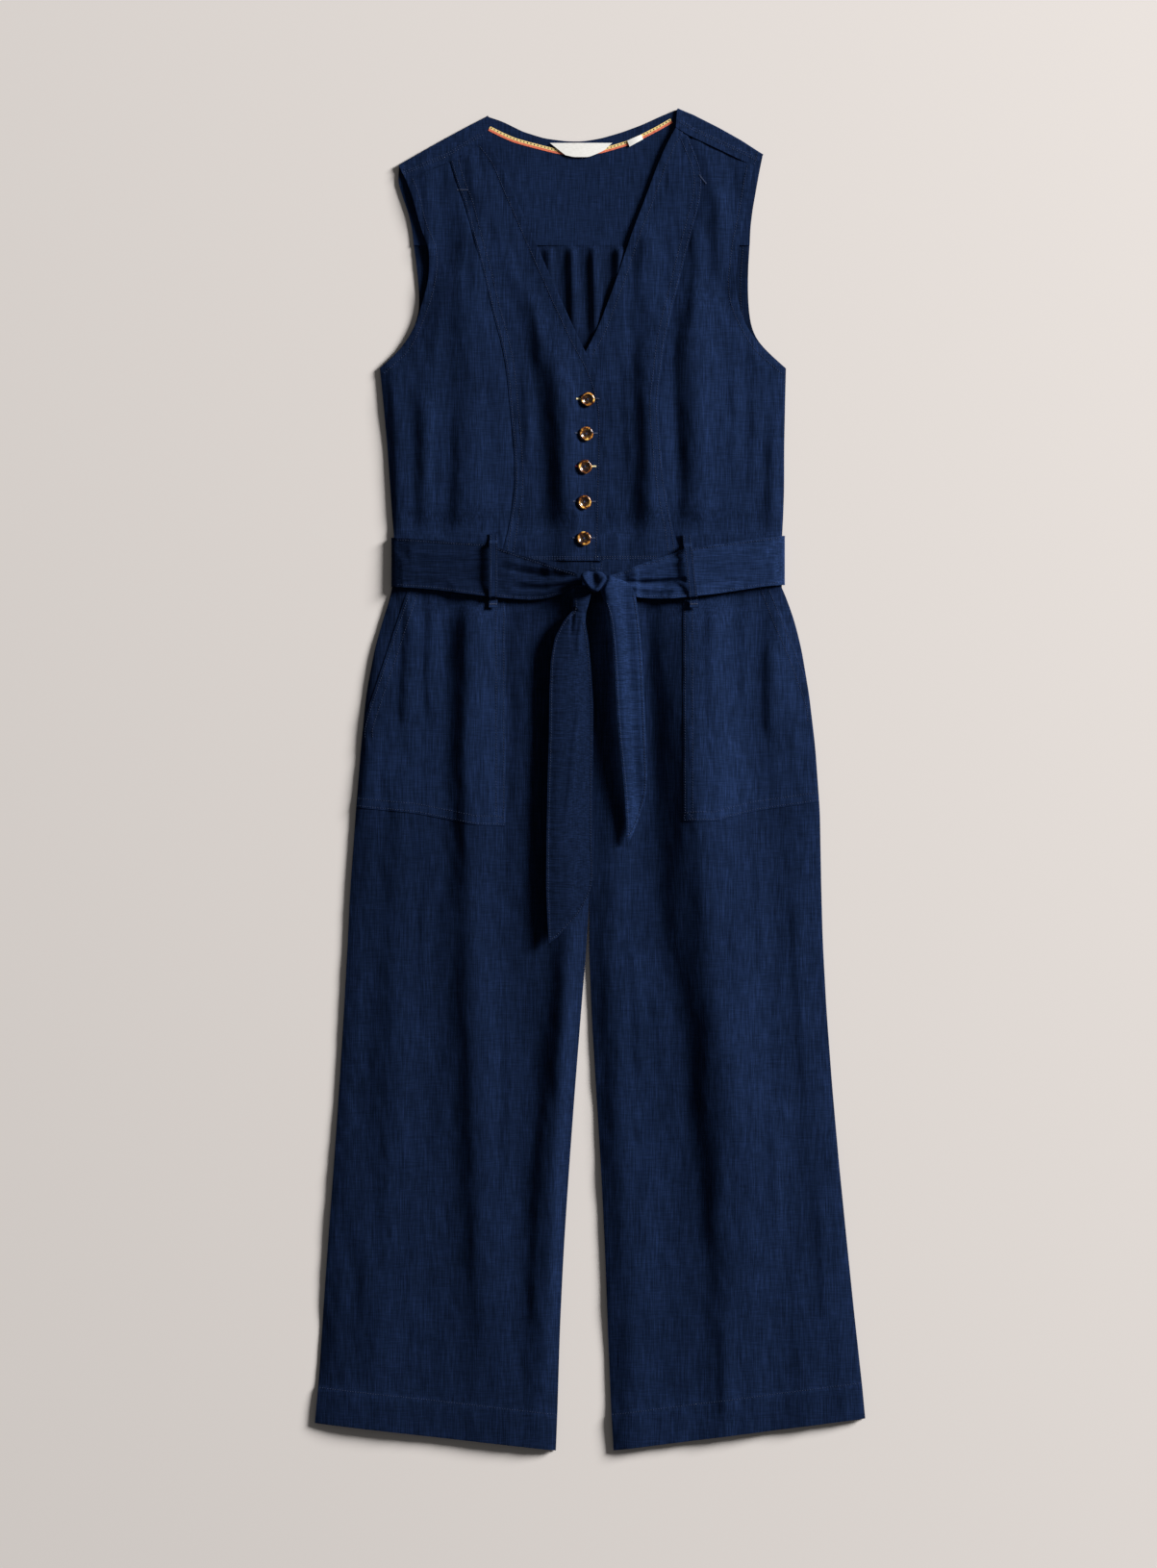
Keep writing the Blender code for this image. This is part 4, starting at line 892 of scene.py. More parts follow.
def cloth_piece(made, name, node, material, slot, cloth):
    """A piece of cloth with a wall. The area of its solid is worked out but not used."""
    for side in made.edges:
        side.smooth = not side.is_boundary
    faces_of[node] = BVHTree.FromBMesh(made)
    piece = place(made, name, material, slot, node)
    wall = piece.modifiers.new("wall", "SOLIDIFY")
    wall.thickness = cloth * MM
    wall.offset = -1
    solid = solid_of(node)
    area = sum(face.calc_area() for face in solid.faces) / 2
    solid.free()
    return piece


def relief(node, spots, only_up):
    """Creases, crumple and seams together, faded out under what holds the cloth down."""
    height = crease_height(spots) + crumple(spots)
    if only_up:
        height = np.maximum(height, 0) * BACK_RELIEF
    return height * freedom(spots) + seam_height(node, spots)


def height_on(faces, points):
    """How high a piece of cloth stands at each point, in mm."""
    heights = []
    for x, y, z in points * MM:
        hit = faces.ray_cast(Vector((x, y, 1)), DOWN)[0]
        heights.append((hit or faces.find_nearest((x, y, z))[0]).z * 1000)
    return np.array(heights)


print(len(PANELS), "panels to make")

# %% [markdown]
# ## Edges
#
# Where two pieces are sewn together, the edge of one slips under the other. Where a leg or a side
# closes, its edge only goes down. The tables list those lines, and how deep each lies.
# A pocket's foot bends inwards, so it's drawn down to its seam before it is cut finer.

# %% Tuck the edges
SIDE_DROP = 0.3
SIDE_REACH = 5.0
LONG_EDGE = 8 * MM
FOOT_CUT = 5 * MM
FOOT_REACH = 3


def tuck(made, path, slip=0.6, drop=0.4, reach=6.0):
    """Slips the edge along a path under its neighbour's, as the turnings of a seam go, or with
    no slip only lowers it."""
    points = spots_of(made)
    distance, _, aside = measure(points[:, :2], curve(path, 3.0))
    side = np.sign(np.median(distance))
    share = (1 - ease(np.abs(distance) / reach))[:, None]
    points[:, :2] -= side * slip * share * aside
    points[:, 2:] -= drop * share
    for vert, point in zip(made.verts, points):
        vert.co = Vector(point) * MM


WAIST_SEAM = ((-208, 231.5), (0, 231.5), (204, 231.5))
YOKE_SEAM = ((-187, 567), (0, 567), (170, 567))
TUCKED = {
    "front_side_right": ((PRINCESS_RIGHT, 0.5), (SHOULDER_RIGHT, 0.4)),
    "front_side_left": ((PRINCESS_LEFT, 0.5), (SHOULDER_LEFT, 0.4)),
    "front_centre_right": ((SHOULDER_RIGHT, 0.4),),
    "front_centre_left": ((SHOULDER_LEFT, 0.4),),
    "back_yoke": ((YOKE_SEAM, -0.8),),
    "back_bodice": ((YOKE_SEAM, 0.3),),
    "front_leg_right": ((WAIST_SEAM, 0.05),),
    "front_leg_left": ((WAIST_SEAM, 0.05), (MIDDLE_SEAM, 0.4)),
}
SIDES = {
    "front_side_right": ((-223, 436), (-219, 396), (-212, 309), (-207.5, 232)),
    "front_side_left": ((207.5, 436), (207, 396), (206, 309), (203.5, 232)),
    "front_leg_right": (
        *((-207.5, 203), (-220, 168), (-237.5, 90), (-248.5, -35)),
        *((-261, -245), (-277.5, -485), (-292, -683)),
    ),
    "front_leg_left": (
        *((203.5, 203), (217, 168), (232.5, 90), (244, -35)),
        *((251, -245), (272, -485), (292, -678)),
    ),
    "pocket_right": ((-241.5, 44), (-250, -30)),
    "pocket_left": ((240, 80), (250, -23)),
}
INSIDES = {
    "front_leg_right": ((-0.6, -130), (-10, -254), (-22.5, -418), (-32, -584), (-36.2, -712)),
    "front_leg_left": ((-0.3, -130), (2, -254), (12, -418), (19, -584), (25, -712)),
}
POCKET_FEET = {
    "pocket_right": (
        ((-250, -185, -89.5), (-22.9, -36, -44.8)),
        ((-250, -185, -123, -89.5), (-30, -36, -48.5, -49.5)),
    ),
    "pocket_left": (
        ((98.5, 101.5, 174, 250), (-44.5, -44.5, -34, -15)),
        ((98.5, 132, 174, 250), (-44.5, -44.5, -34, -23)),
    ),
}


def deepen(made, node):
    """Draws the foot of a pocket down to its seam line, which bends inwards."""
    plain, bent = POCKET_FEET[node]
    for side in made.edges[:]:
        if max(vert.co.y for vert in side.verts) < 0 and side.calc_length() > LONG_EDGE:
            cuts = round(side.calc_length() / FOOT_CUT)
            bmesh.ops.subdivide_edges(made, edges=[side], cuts=cuts)
    for vert in made.verts:
        x, y = vert.co.x * 1000, vert.co.y * 1000
        if y < np.interp(x, *plain) + FOOT_REACH:
            vert.co.y += (np.interp(x, *bent) - np.interp(x, *plain)) * MM


print(sum(len(edges) for edges in TUCKED.values()), "edges go under others")

# %% [markdown]
# ## Twelve panels
#
# All the parts are ready, so one loop makes the panels. Legs come before their pockets, because a
# pocket asks how high the leg beneath it stands.

# %% Make the panels
for panel in PANELS:
    node = panel.node
    pocket = node.startswith("pocket")
    curled = node == "back_yoke"
    if curled:
        made = outer_face(node)
        refine(made, SPACING, SPACING, FINE_SPACING)
        relax(made, panel.rounds)
    else:
        made = laid_face(node, panel.spacing, 1 - panel.only_up, deepen if pocket else None)
    points = spots_of(made)
    spots = points[:, :2]
    heights = points[:, 2]
    if pocket:
        leg = faces_of[node.replace("pocket", "front_leg")]
        heights = heights + height_on(leg, points) + POCKET_STEP + seam_height(node, spots)
    else:
        if not curled:
            heights = heights + smooth_heights(node, spots, panel.rounds)
        heights = heights + relief(node, spots, panel.only_up)
    if node == "back_bodice":
        pressed = ease((YOKE_SEAM[0][1] - points[:, 1]) / YOKE_PRESS)
        heights += crease_height(spots, GATHERS) * freedom(spots) * pressed
    set_heights(made, heights)
    for path, drop in TUCKED.get(node, ()):
        tuck(made, path, drop=drop)
    for closed in (SIDES, INSIDES):
        if node in closed:
            tuck(made, closed[node], slip=0.0, drop=SIDE_DROP, reach=SIDE_REACH)
    if panel.only_up:
        for vert in made.verts:
            vert.co.z = max(vert.co.z, panel.cloth * MM)
    cloth_piece(made, node + "_cloth", node, panel.dye, "linen", panel.cloth)
print(len(pieces), "panels")

# %% [markdown]
# ## The belt
#
# The belt is a doubled strip, so it's thicker and stiffer than the rest. Near the knot it is
# drawn together, and folds run in towards the knot from both sides. Its two ends hang over the
# legs, pinched where they leave the knot and nearly flat below.

# %% Make the belt, its ends and its loops
BELT_CREASES = creases(
    (1.3, 4, 6, (-98, 233), (-70, 227), (-40, 222.5), (-16, 217)),
    (-1.6, 4, 5, (-100, 224), (-76, 220), (-50, 216), (-20, 214.5)),
    (1.4, 5, 5, (-84, 211), (-52, 207.5), (-30, 208.5), (-10, 212)),
    (-1.0, 3, 4, (-92, 204), (-64, 202), (-40, 203), (-16, 209)),
    (0.8, 4, 4, (-92, 198), (-58, 196), (-36, 200), (-12, 208)),
    (0.5, 6, 8, (-190, 240), (-150, 236), (-112, 238)),
    (1.2, 5, 6, (112, 236), (82, 230), (56, 221), (34, 214)),
    (-3.2, 4, 6, (116, 214), (88, 210.5), (62, 208.5), (30, 209)),
    (1.2, 4, 4, (110, 203), (80, 201), (56, 202), (36, 205)),
    (0.5, 6, 8, (190, 226), (160, 232), (122, 226)),
    # the long end, which slopes down to the wearer's left
    (-5.5, 46, 12, (2, 210), (8, 120), (8, 20), (8, -100), (6, -200)),
    (-1.2, 3, 4, (-16, 188), (-18, 178), (-20, 160), (-21, 148)),
    (1.0, 4, 5, (-8, 180), (-9, 168), (-12, 150), (-12, 126)),
    (-0.8, 2.5, 3, (-20, 182), (-14, 177), (-8, 175.5), (-3, 178)),
    (0.7, 4, 9, (-10, 96), (-13, 68), (-18, 34), (-21, -2), (-28, -58)),
    (-0.5, 3, 4, (-13, 84), (-5, 80), (2, 83)),
    (-0.4, 5, 5, (-44, 20), (-30, 14), (-12, 18)),
    (0.5, 8, 10, (-24, -70), (-22, -110), (-26, -150)),
    # the short end, which lies flat
    (3.6, 8, 18, (10, 260), (17, 200), (24, 150), (27, 100), (29.5, 60), (33, 10), (37, -40), (38, -110)),
    (2.4, 14, 6, (44, 260), (50, 190), (55, 130), (58, 80), (60, 40), (61, 0), (60, -60)),
    (-0.4, 5, 6, (24, 60), (38, 52), (56, 56)),
)
knot_tree = flat_tree(("belt_knot",) + LOOP_COVERS)
# Each belt piece takes a linen copy made lighter or darker as painted light and shade: the wearer's left
# half and the short end lighter, the right half and the long end darker.
BELT_LIT_AND_SHADED_LINENS = {
    "belt_back": BELT_LINEN_LEFT,
    "belt_right": BELT_LINEN_RIGHT,
    "belt_left": BELT_LINEN_LEFT,
    "belt_tail_long": BELT_LINEN_END,
    "belt_tail_short": BELT_LINEN_LEFT,
}
KNOT_GAP = 4
BELT_FRONT = 4
BELT_CRUMPLE = 0.25
BELT_FINENESS = 1.7
for node in BELT_LIT_AND_SHADED_LINENS:
    made = outer_face(node)
    refine(made, BELT_SPACING, BELT_SPACING, FINE_SPACING)
    relax(made, 6)
    points = spots_of(made)
    spots = points[:, :2]
    added = crease_height(spots, BELT_CREASES) + BELT_CRUMPLE * crumple(spots * BELT_FINENESS)
    in_front = points[:, 2] > BELT_FRONT
    added *= ease(gap_to(knot_tree, spots) / KNOT_GAP) * in_front
    added += seam_height(node, spots) * in_front
    set_heights(made, points[:, 2] + added)
    cloth_piece(made, node + "_cloth", node, BELT_LIT_AND_SHADED_LINENS[node], "belt_linen", 1.5)
for node in LOOP_COVERS:
    made = outer_face(node)
    refine(made, FINE_SPACING, FINE_SPACING, FINE_SPACING)
    relax(made, 1)
    # The loops take their side's linen copy, lighter or darker as painted light and shade.
    dye = LINEN_LEFT if node.endswith("left") else LINEN_RIGHT
    cloth_piece(made, node + "_cloth", node, dye, "linen", 1.0)
print("the belt has", len(BELT_CREASES), "creases of its own")

# %% [markdown]
# ## The knot
#
# One end of the belt wraps the other, so the knot shows a V of two pulled bands over a hollow.
# It's a closed lump rather than a sheet. Its solid is subdivided smoothly, and two ridges and
# a hollow between them are pushed into its upper side.

# %% Make the knot
KNOT_CUTS = 2
KNOT_ROUNDS = 4
KNOT_RIGHT_ARM = ((-11.5, 223), (-6.5, 212), (-1, 203), (3, 197))
KNOT_LEFT_ARM = ((18, 217), (14, 210), (9, 203), (5, 197.5))
KNOT_HOLLOW = ((2, 222), (3.5, 215), (4.5, 209))
made = solid_of("belt_knot")
bmesh.ops.remove_doubles(made, verts=made.verts, dist=WELD)
bmesh.ops.subdivide_edges(made, edges=made.edges, cuts=KNOT_CUTS, use_grid_fill=True)
smooth(made, made.verts, KNOT_ROUNDS)
made.normal_update()
points = spots_of(made)
spots = points[:, :2]
upward = ease(np.array([vert.normal.z for vert in made.verts]) * 2)
added = np.zeros(len(spots))
for path, rise, width in (
    (KNOT_RIGHT_ARM, 1.2, 2.4),
    (KNOT_LEFT_ARM, 1.5, 2.6),
    (KNOT_HOLLOW, -3.4, 5.0),
):
    distance, _, _ = measure(spots, curve(path, 2.0))
    added += rise * np.exp(-((distance / width) ** 2))
set_heights(made, points[:, 2] + added * upward)
knot = place(made, "belt_knot_cloth", KNOT_LINEN, "belt_linen", "belt_knot")
print("the knot has", len(knot.data.polygons), "faces")

# %% [markdown]
# ## Stitches
#
# A row of topstitching is hundreds of short threads. One small ball, drawn out into a grain,
# is set down for each, turned along its row and laid on the cloth below it. All of the
# stitches of one part of the garment are a single mesh, which keeps the scene light.
# They are navy too, and a little smoother than linen, so they catch the light as fine dots.

# %% Thread


def thread_of(name, dark, light, **sockets):
    """Thread of one colour, a little uneven."""
    made, tree, shader = new_material(name, Roughness=0.55, **sockets)
    twist = add(tree, "TexNoise", {"Scale": 900.0, "Detail": 1.0}).outputs["Fac"]
    uneven = ramp(tree, twist, (0.3, linear(dark)), (0.7, linear(light)))
    tree.links.new(uneven, shader.inputs["Base Color"])
    return made


THREAD_NAVY = thread_of("navy_thread", "#17223B", "#2B3B5E", Specular_IOR_Level=0.4)
STITCH_LONG = 1.8
STITCH_WIDE = 0.5
STITCH_HIGH = 0.32
STITCH_LIFT = 0.08
PITCH = 2.7


def walk(line, pitch):
    """Places and directions at even steps along a line."""
    steps = np.linalg.norm(np.diff(line, axis=0), axis=1)
    done = np.concatenate([[0.0], np.cumsum(steps)])
    for at in np.arange(pitch / 2, done[-1], pitch):
        x, y = (np.interp((at, at + 1, at - 1), done, line[:, axis]) for axis in (0, 1))
        here, ahead, behind = np.stack([x, y], axis=1)
        yield here, ahead - behind


def surface(nodes, spot):
    """The highest point and its normal on these pieces of cloth at a spot, or none."""
    best = None
    for node in nodes:
        above = Vector((spot[0] * MM, spot[1] * MM, 1))
        hit, normal, _, _ = faces_of[node].ray_cast(above, DOWN)
        if hit and (best is None or hit.z > best[0].z):
            best = hit, normal
    return best


def sew(nodes, line, pitch=PITCH, long=STITCH_LONG, wide=STITCH_WIDE, cross=False):
    """A row of stitches along a line, laid on the cloth of these nodes, as a mesh."""
    made = bmesh.new()
    for spot, direction in walk(line, pitch):
        found = surface(nodes, spot)
        if not found:
            continue
        hit, normal = found
        ahead = Vector((direction[0], direction[1], 0)).normalized()
        if cross:
            ahead = Vector((-ahead.y, ahead.x, 0))
        ahead = (ahead - normal * ahead.dot(normal)).normalized()
        aside = normal.cross(ahead)
        turn = Matrix((ahead, aside, normal)).transposed().to_4x4()
        size = Matrix.Diagonal((long * MM / 2, wide * MM / 2, STITCH_HIGH * MM, 1))
        bmesh.ops.create_uvsphere(
            made,
            u_segments=6,
            v_segments=3,
            radius=1.0,
            matrix=Matrix.Translation(hit + normal * STITCH_LIFT * MM) @ turn @ size,
        )
    return mesh_from(made, "row")


def join(rows, name, material, slot):
    """One piece from many small meshes."""
    made = bmesh.new()
    for row in rows:
        made.from_mesh(row)
        bpy.data.meshes.remove(row)
    print(name, len(made.faces), "faces")
    return place(made, name, material, slot)


GROUPS = {
    "bodice_stitches": FRONTS + ("back_yoke", "back_bodice"),
    "leg_stitches": LEGS + ("pocket_right", "pocket_left"),
    "belt_stitches": BELTS,
}
BARTACKS = {
    "bodice_stitches": (((-141.3, 624.8), (-129, 624.8)), ((115.8, 640.6), (122.9, 631.4))),
    "leg_stitches": (),
    "belt_stitches": (((-106.5, 185.6), (-98.2, 185.6)), ((106, 185.6), (114.2, 185.6))),
}
for name, nodes in GROUPS.items():
    seams = [seam for seam in SEAMS if seam.on[0] in nodes]
    rows = [sew(seam.on, stitch_line(seam, inset)) for seam in seams for inset in seam.rows]
    rows += [sew(nodes, curve(bar), 0.8, 2.4, 0.6, cross=True) for bar in BARTACKS[name]]
    join(rows, name, THREAD_NAVY, "belt_linen" if nodes is BELTS else "linen")

# %% [markdown]
# ## Buttons
#
# The buttons are horn or its imitation: polished, with amber clouds in dark brown. Each has a
# round raised rim and a dished middle with four holes. The profile is spun round once, a
# Boolean drills the holes, and the same mesh is set at each button's place and tilt.

# %% Tortoiseshell
TORTOISESHELL, tree, shader = new_material(
    "tortoiseshell", Roughness=0.22, IOR=1.55, Coat_Weight=0.4, Coat_Roughness=0.08
)
place_node = add(tree, "TexCoord").outputs["Object"]
cloud = add(tree, "TexNoise", {"Vector": place_node, "Scale": 210.0, "Detail": 3.0, "Distortion": 0.8})
amber = ramp(
    tree,
    cloud.outputs["Fac"],
    (0.36, linear("#1B0C06")),
    (0.47, linear("#4A230C")),
    (0.55, linear("#A8691F")),
    (0.66, linear("#E3BB62")),
)
# The dished middle of each button is painted towards near black: painted shade in the hollow.
dish_shade = add(tree, "Attribute", attribute_name="dish_shade").outputs["Fac"]
mixed = add(tree, "Mix", {0: dish_shade, 6: amber, 7: linear("#140A0C")}, data_type="RGBA")
tree.links.new(mixed.outputs[2], shader.inputs["Base Color"])

# %% Turn a button and drill it
Turn = namedtuple("Turn", "out up")
BUTTON_PROFILE = (
    Turn(0.0, 1.2), Turn(2.2, 1.2), Turn(3.6, 1.35), Turn(4.6, 1.9), Turn(5.2, 2.6),
    Turn(5.9, 3.05), Turn(6.6, 3.0), Turn(7.2, 2.5), Turn(7.5, 1.9), Turn(7.4, 1.2),
    Turn(6.6, 0.5), Turn(5.4, 0.15), Turn(0.0, 0.1),
)
BUTTON_STEPS = 40
HOLE_RADIUS = 0.75
HOLE_OUT = 1.45
HOLE_DEEP = 6
DIAGONALS = [math.radians(45 + 90 * number) for number in range(4)]


def turned(profile, steps):
    """A solid spun from a profile of distances out and up, in mm."""
    made = bmesh.new()
    verts = [made.verts.new((turn.out * MM, 0, turn.up * MM)) for turn in profile]
    edges = [made.edges.new(pair) for pair in zip(verts, verts[1:])]
    bmesh.ops.spin(
        made,
        geom=verts + edges,
        angle=math.tau,
        steps=steps,
        axis=(0, 0, 1),
        cent=(0, 0, 0),
        use_merge=True,
    )
    bmesh.ops.remove_doubles(made, verts=made.verts, dist=WELD)
    bmesh.ops.recalc_face_normals(made, faces=made.faces)
    return made


blank = in_scene("blank", mesh_from(turned(BUTTON_PROFILE, BUTTON_STEPS), "blank"))
drill = bmesh.new()
for angle in DIAGONALS:
    where = Vector((HOLE_OUT * math.cos(angle), HOLE_OUT * math.sin(angle), 1.0)) * MM
    bmesh.ops.create_cone(
        drill,
        cap_ends=True,
        segments=12,
        radius1=HOLE_RADIUS * MM,
        radius2=HOLE_RADIUS * MM,
        depth=HOLE_DEEP * MM,
        matrix=Matrix.Translation(where),
    )
drill = in_scene("drill", mesh_from(drill, "drill"))
holes = blank.modifiers.new("holes", "BOOLEAN")
holes.operation = "DIFFERENCE"
holes.object = drill
bpy.context.view_layer.update()
drilled = bpy.data.meshes.new_from_object(blank.evaluated_get(bpy.context.evaluated_depsgraph_get()))
for item in (blank, drill):
    bpy.data.objects.remove(item)
print("a button has", len(drilled.polygons), "faces")

# %% Set the buttons


def lie_of(node):
    """Where a round flat node lies: its middle, and its axis from the thinnest way through it."""
    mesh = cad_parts[node].data
    points = np.array([vert.co for vert in mesh.vertices])
    middle = (points.min(0) + points.max(0)) / 2
    axis = Vector(np.linalg.svd(points - points.mean(0))[2][2])
    return Vector(middle), axis if axis.z > 0 else -axis


BUTTON_HALF = 1.6
BUTTON_TURN = 0.35
BUTTON_SHARP = math.radians(50)
# Within this radius, fading over this edge, the colour is painted this much towards black: painted shade in
# the dish.
DISH_RADIUS = 5.4
DISH_EDGE = 1.2
DISH_PAINTED_SHADE = 0.9
THREAD_UP = 1.35
THREAD_HALF = (1.9, 0.32, 0.35)
for number, node in enumerate(BUTTON_COVERS):
    middle, axis = lie_of(node)
    tilt = axis.to_track_quat("Z", "Y").to_matrix().to_4x4()
    turn = tilt @ Matrix.Rotation(BUTTON_TURN * number, 4, "Z")
    seat = Matrix.Translation(middle - axis * BUTTON_HALF * MM) @ turn
    made = bmesh.new()
    made.from_mesh(drilled)
    # Each point's share of the painted shade in the dish.
    dish_shade_layer = made.verts.layers.float.new("dish_shade")
    for vert in made.verts:
        out = math.hypot(vert.co.x, vert.co.y) * 1000
        vert[dish_shade_layer] = float(ease((DISH_RADIUS - out) / DISH_EDGE)) * DISH_PAINTED_SHADE
    bmesh.ops.transform(made, matrix=seat, verts=made.verts)
    button = place(made, node + "_turned", TORTOISESHELL, "button_horn", node)
    button.data.set_sharp_from_angle(angle=BUTTON_SHARP)
    threads = bmesh.new()
    for angle in DIAGONALS[:2]:
        across = seat @ Matrix.Rotation(angle, 4, "Z") @ Matrix.Translation((0, 0, THREAD_UP * MM))
        size = across @ Matrix.Diagonal((*(half * MM for half in THREAD_HALF), 1))
        bmesh.ops.create_uvsphere(threads, u_segments=10, v_segments=6, radius=1.0, matrix=size)
    place(threads, node + "_thread", THREAD_NAVY, "linen")
    print(node, "at", [round(value * 1000, 1) for value in middle])

# %% [markdown]
# ## Buttonholes
#
# A buttonhole is a slit whose edges are wrapped with thread. Short stitches packed side by side
# across a line make that wrapping. Three ends are sewn in bright thread, as a small trimming.

# %% Sew the buttonholes
CREAM_THREAD = thread_of("cream_thread", "#D9C486", "#F3E7BE")
PINK_THREAD = thread_of("pink_thread", "#B4304A", "#E0607A")
BUTTONHOLE_START = 6.0
BUTTONHOLE_REACH = 12.0
BUTTONHOLE_UP = 0.6
PINK_SHORTER = 2.0
BRIGHT_ENDS = {(1, -1): CREAM_THREAD, (3, 1): CREAM_THREAD, (3, -1): PINK_THREAD}
for number, node in enumerate(BUTTON_COVERS, 1):
    middle = lie_of(node)[0] * 1000
    for side in (-1, 1):
        thread = BRIGHT_ENDS.get((number, side), THREAD_NAVY)
        reach = BUTTONHOLE_REACH - (PINK_SHORTER if thread is PINK_THREAD else 0.0)
        ends = (BUTTONHOLE_START, reach)
        row = [(middle.x + side * out, middle.y + BUTTONHOLE_UP) for out in ends]
        hole = sew(FRONTS[1:2], np.array(row), pitch=0.55, long=2.6, wide=0.7, cross=True)
        end = "left" if side < 0 else "right"
        join([hole], f"buttonhole_{number}_{end}", thread, "linen")

# %% [markdown]
# ## Tape and labels
#
# A narrow woven tape covers the seam behind the neck: dots on cream above, coral below. Its
# pattern follows its length, so the tape needs UVs: one counts millimetres along it, and the
# other goes from edge to edge. The two labels are white satin and stay bare.

# %% Make the tape
TAPE_PATH = (
    (-107, 690.6), (-93, 683.6), (-80, 678), (-65, 673.7), (-48.5, 669.5), (-34, 666),
    (-11, 663.5), (13, 667), (38.5, 674.5), (55.5, 682), (72, 690.5), (86.5, 698.8),
)
TAPE_WIDTH = 5.0
DOT_PITCH = 3.8
DOT_RADIUS = 0.75
DOT_PLACE = 0.74
COLOUR_EDGE = 0.48

TAPE, tree, shader = new_material("dotted_tape", Roughness=0.75, Specular_IOR_Level=0.2)
uv = add(tree, "UVMap", uv_map="along").outputs["UV"]
parts = add(tree, "SeparateXYZ", {"Vector": uv})
step = maths(tree, "MULTIPLY", parts.outputs["X"], 1 / DOT_PITCH)
offset = maths(tree, "SUBTRACT", maths(tree, "FRACT", step), 0.5)
aside = maths(tree, "MULTIPLY", offset, DOT_PITCH)
upper = maths(tree, "SUBTRACT", parts.outputs["Y"], DOT_PLACE)
above = maths(tree, "MULTIPLY", upper, TAPE_WIDTH)
spread = add(tree, "CombineXYZ", {"X": aside, "Y": above}).outputs[0]
away = add(tree, "VectorMath", {0: spread}, operation="LENGTH").outputs["Value"]
dot = maths(tree, "LESS_THAN", away, DOT_RADIUS)
thread_noise = add(tree, "TexNoise", {"Vector": uv, "Scale": 1.6, "Detail": 2.0}).outputs["Fac"]
cream = ramp(tree, thread_noise, (0.3, linear("#E6C06A")), (0.7, linear("#F2DC9C")))
coral = ramp(tree, thread_noise, (0.3, linear("#C9503C")), (0.7, linear("#E88A68")))
is_upper = maths(tree, "GREATER_THAN", parts.outputs["Y"], COLOUR_EDGE)
halves = add(tree, "Mix", {0: is_upper, 6: coral, 7: cream}, data_type="RGBA").outputs[2]
dotted = add(tree, "Mix", {0: dot, 6: halves, 7: linear("#1B2238")}, data_type="RGBA").outputs[2]
tree.links.new(dotted, shader.inputs["Base Color"])
ribs = add(tree, "TexWave", {"Vector": uv, "Scale": 0.5}, bands_direction="X").outputs["Fac"]
woven = add(tree, "Bump", {"Strength": 0.4, "Distance": 0.2 * MM, "Height": ribs})
tree.links.new(woven.outputs["Normal"], shader.inputs["Normal"])

made = outer_face("neck_tape")
refine(made, FINE_SPACING, FINE_SPACING)
relax(made, 4)
made.verts.index_update()
points = spots_of(made)
tape_line = curve(TAPE_PATH, 3.0)
distance, along, _ = measure(points[:, :2], tape_line)
length = np.linalg.norm(np.diff(tape_line, axis=0), axis=1).sum()
layer = made.loops.layers.uv.new("along")
for face in made.faces:
    for loop in face.loops:
        at = loop.vert.index
        loop[layer].uv = (along[at] * length, distance[at] / TAPE_WIDTH + 0.5)
cloth_piece(made, "neck_tape_cloth", "neck_tape", TAPE, "tape", 0.6)
print("the tape is", round(length), "mm long")

# %% Make the labels
SATIN, tree, shader = new_material("label_satin", Roughness=0.45, Specular_IOR_Level=0.4)
place_node = add(tree, "TexCoord").outputs["Object"]
wide = add(tree, "Mapping", {"Vector": place_node, "Scale": (260.0, 2200.0, 260.0)}).outputs[0]
threads = add(tree, "TexNoise", {"Vector": wide, "Scale": 1.0, "Detail": 2.0}).outputs["Fac"]
white = ramp(tree, threads, (0.3, linear("#E2DFD8")), (0.7, linear("#F7F5F0")))
tree.links.new(white, shader.inputs["Base Color"])
woven = add(tree, "Bump", {"Strength": 0.3, "Distance": 0.1 * MM, "Height": threads})
tree.links.new(woven.outputs["Normal"], shader.inputs["Normal"])
LABEL_BOW = 0.5
for node in ("neck_label", "size_label"):
    made = outer_face(node)
    refine(made, FINE_SPACING, FINE_SPACING)
    relax(made, 2)
    points = spots_of(made)
    bow = LABEL_BOW * np.sin((points[:, 0] - points[:, 0].min()) / np.ptp(points[:, 0]) * math.pi)
    set_heights(made, points[:, 2] + bow)
    cloth_piece(made, node + "_cloth", node, SATIN, "label", 0.5)
    print(node, "bows up by", round(bow.max(), 2), "mm")

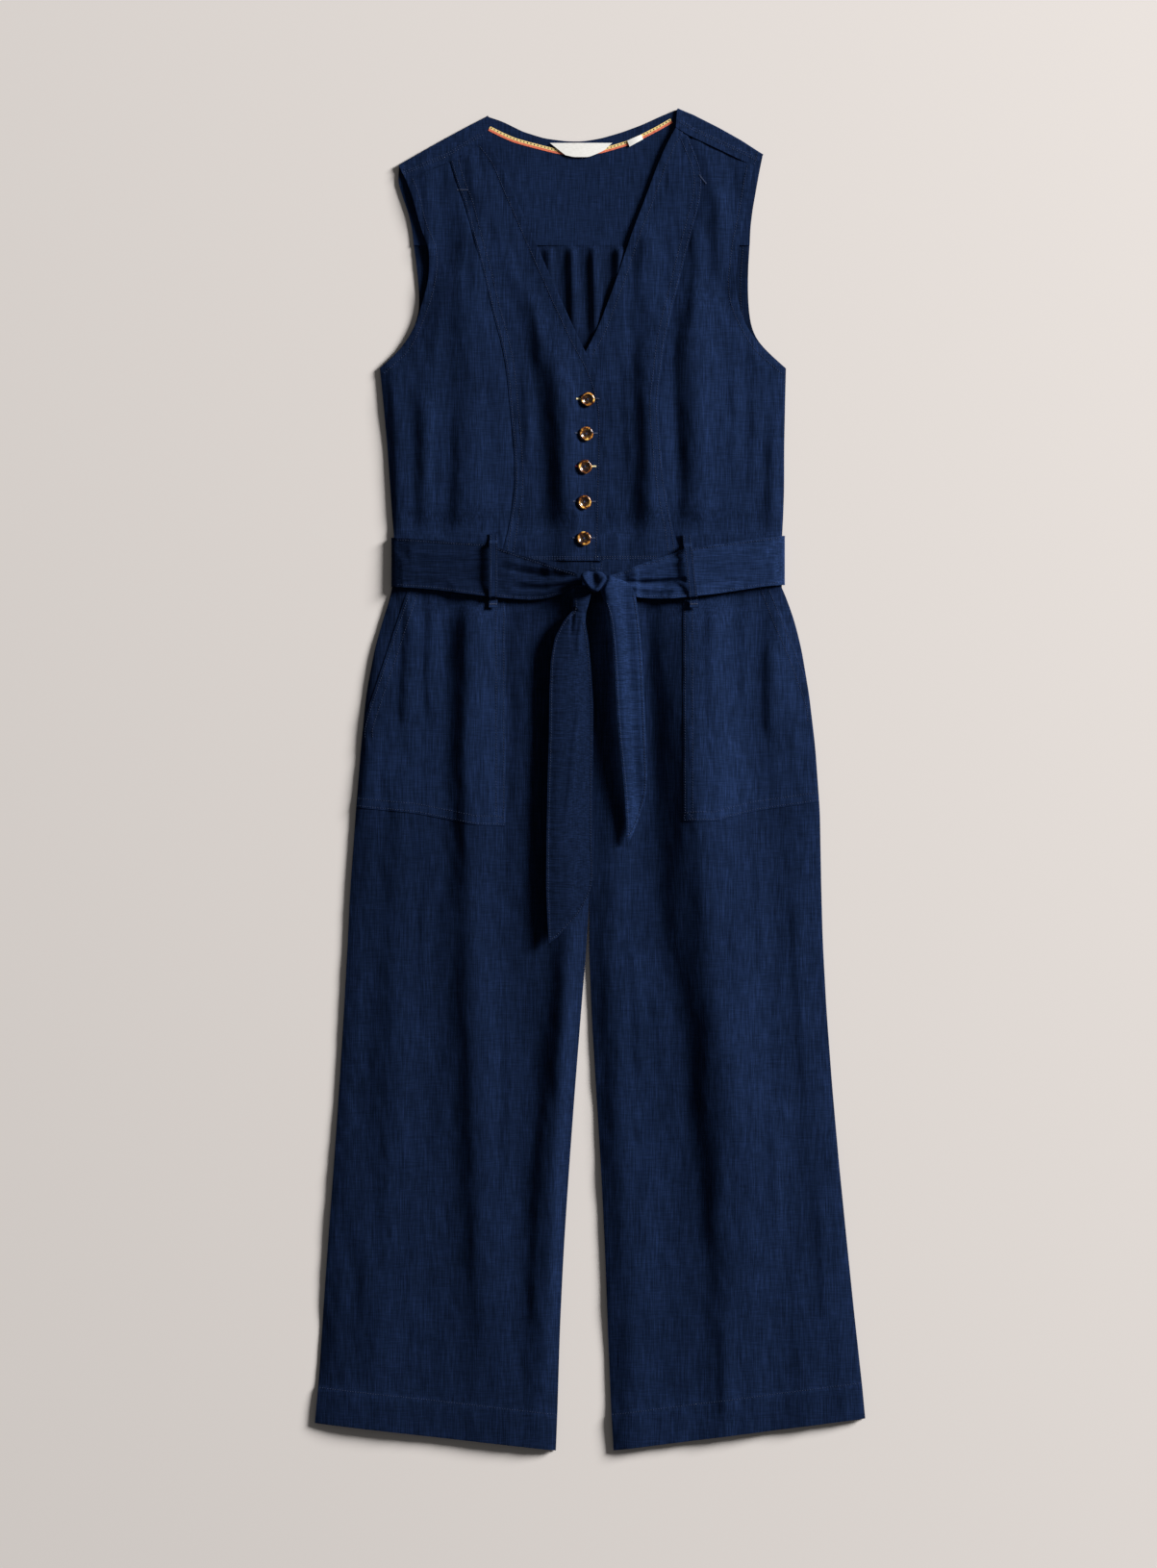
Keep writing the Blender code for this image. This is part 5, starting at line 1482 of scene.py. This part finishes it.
# %% [markdown]
# ## Floor, light and camera
#
# The garment lies on a pale floor. Its one lamp is wide, like a window, and stands low on the
# wearer's left, because low light draws every fold with a soft shadow. A faint white world
# keeps the shadows open. The camera looks straight down from far off through a long lens, so
# that the pieces keep their true shapes.

# %% Set the stage
FLOOR_HALF = 6.0
FLOOR_DROP = 0.0005
made = bmesh.new()
bmesh.ops.create_grid(made, x_segments=1, y_segments=1, size=FLOOR_HALF)
bmesh.ops.translate(made, vec=(0, 0, -FLOOR_DROP), verts=made.verts)
floor = in_scene("floor", mesh_from(made, "floor"))
floor_material, tree, shader = new_material("pale_floor", Roughness=0.9, Specular_IOR_Level=0.2)
shader.inputs["Base Color"].default_value = linear("#DED7D2")
floor.data.materials.append(floor_material)

LAMP_AWAY = 14.0
LAMP_TURN = math.radians(28)
LAMP_UP = math.radians(21)
LAMP_WIDE = 5.0
LAMP_POWER = 5600
WORLD_LIGHT = 0.09
lamp_data = bpy.data.lights.new("window", "AREA")
lamp_data.shape = "DISK"
lamp_data.size = LAMP_WIDE
lamp_data.energy = LAMP_POWER
lamp = in_scene("window", lamp_data)
lamp.location = LAMP_AWAY * Vector((math.cos(LAMP_TURN), math.sin(LAMP_TURN), math.tan(LAMP_UP)))
lamp.rotation_euler = (Vector((0, 0, 0)) - lamp.location).to_track_quat("-Z", "Y").to_euler()

world = bpy.data.worlds.new("studio")
world.use_nodes = True
world.node_tree.nodes["Background"].inputs["Color"].default_value = (1, 1, 1, 1)
world.node_tree.nodes["Background"].inputs["Strength"].default_value = WORLD_LIGHT
bpy.context.scene.world = world
bpy.context.scene.view_settings.view_transform = "Standard"
print("a lamp of", LAMP_POWER, "W,", LAMP_AWAY, "m away")

# %% Set the camera
FRAME_TALL = 1.663
CAMERA_UP = 5.0
CAMERA_ASIDE = (-0.0122, -0.0051)
CLOTH_HIGH = 0.005
SENSOR = 36
camera_data = bpy.data.cameras.new("camera")
camera_data.sensor_width = SENSOR
camera_data.lens = SENSOR * CAMERA_UP / FRAME_TALL
camera = in_scene("camera", camera_data)
camera.location = (*CAMERA_ASIDE, CAMERA_UP + CLOTH_HIGH)
bpy.context.scene.camera = camera
print("a lens of", round(camera_data.lens), "mm,", CAMERA_UP, "m up")
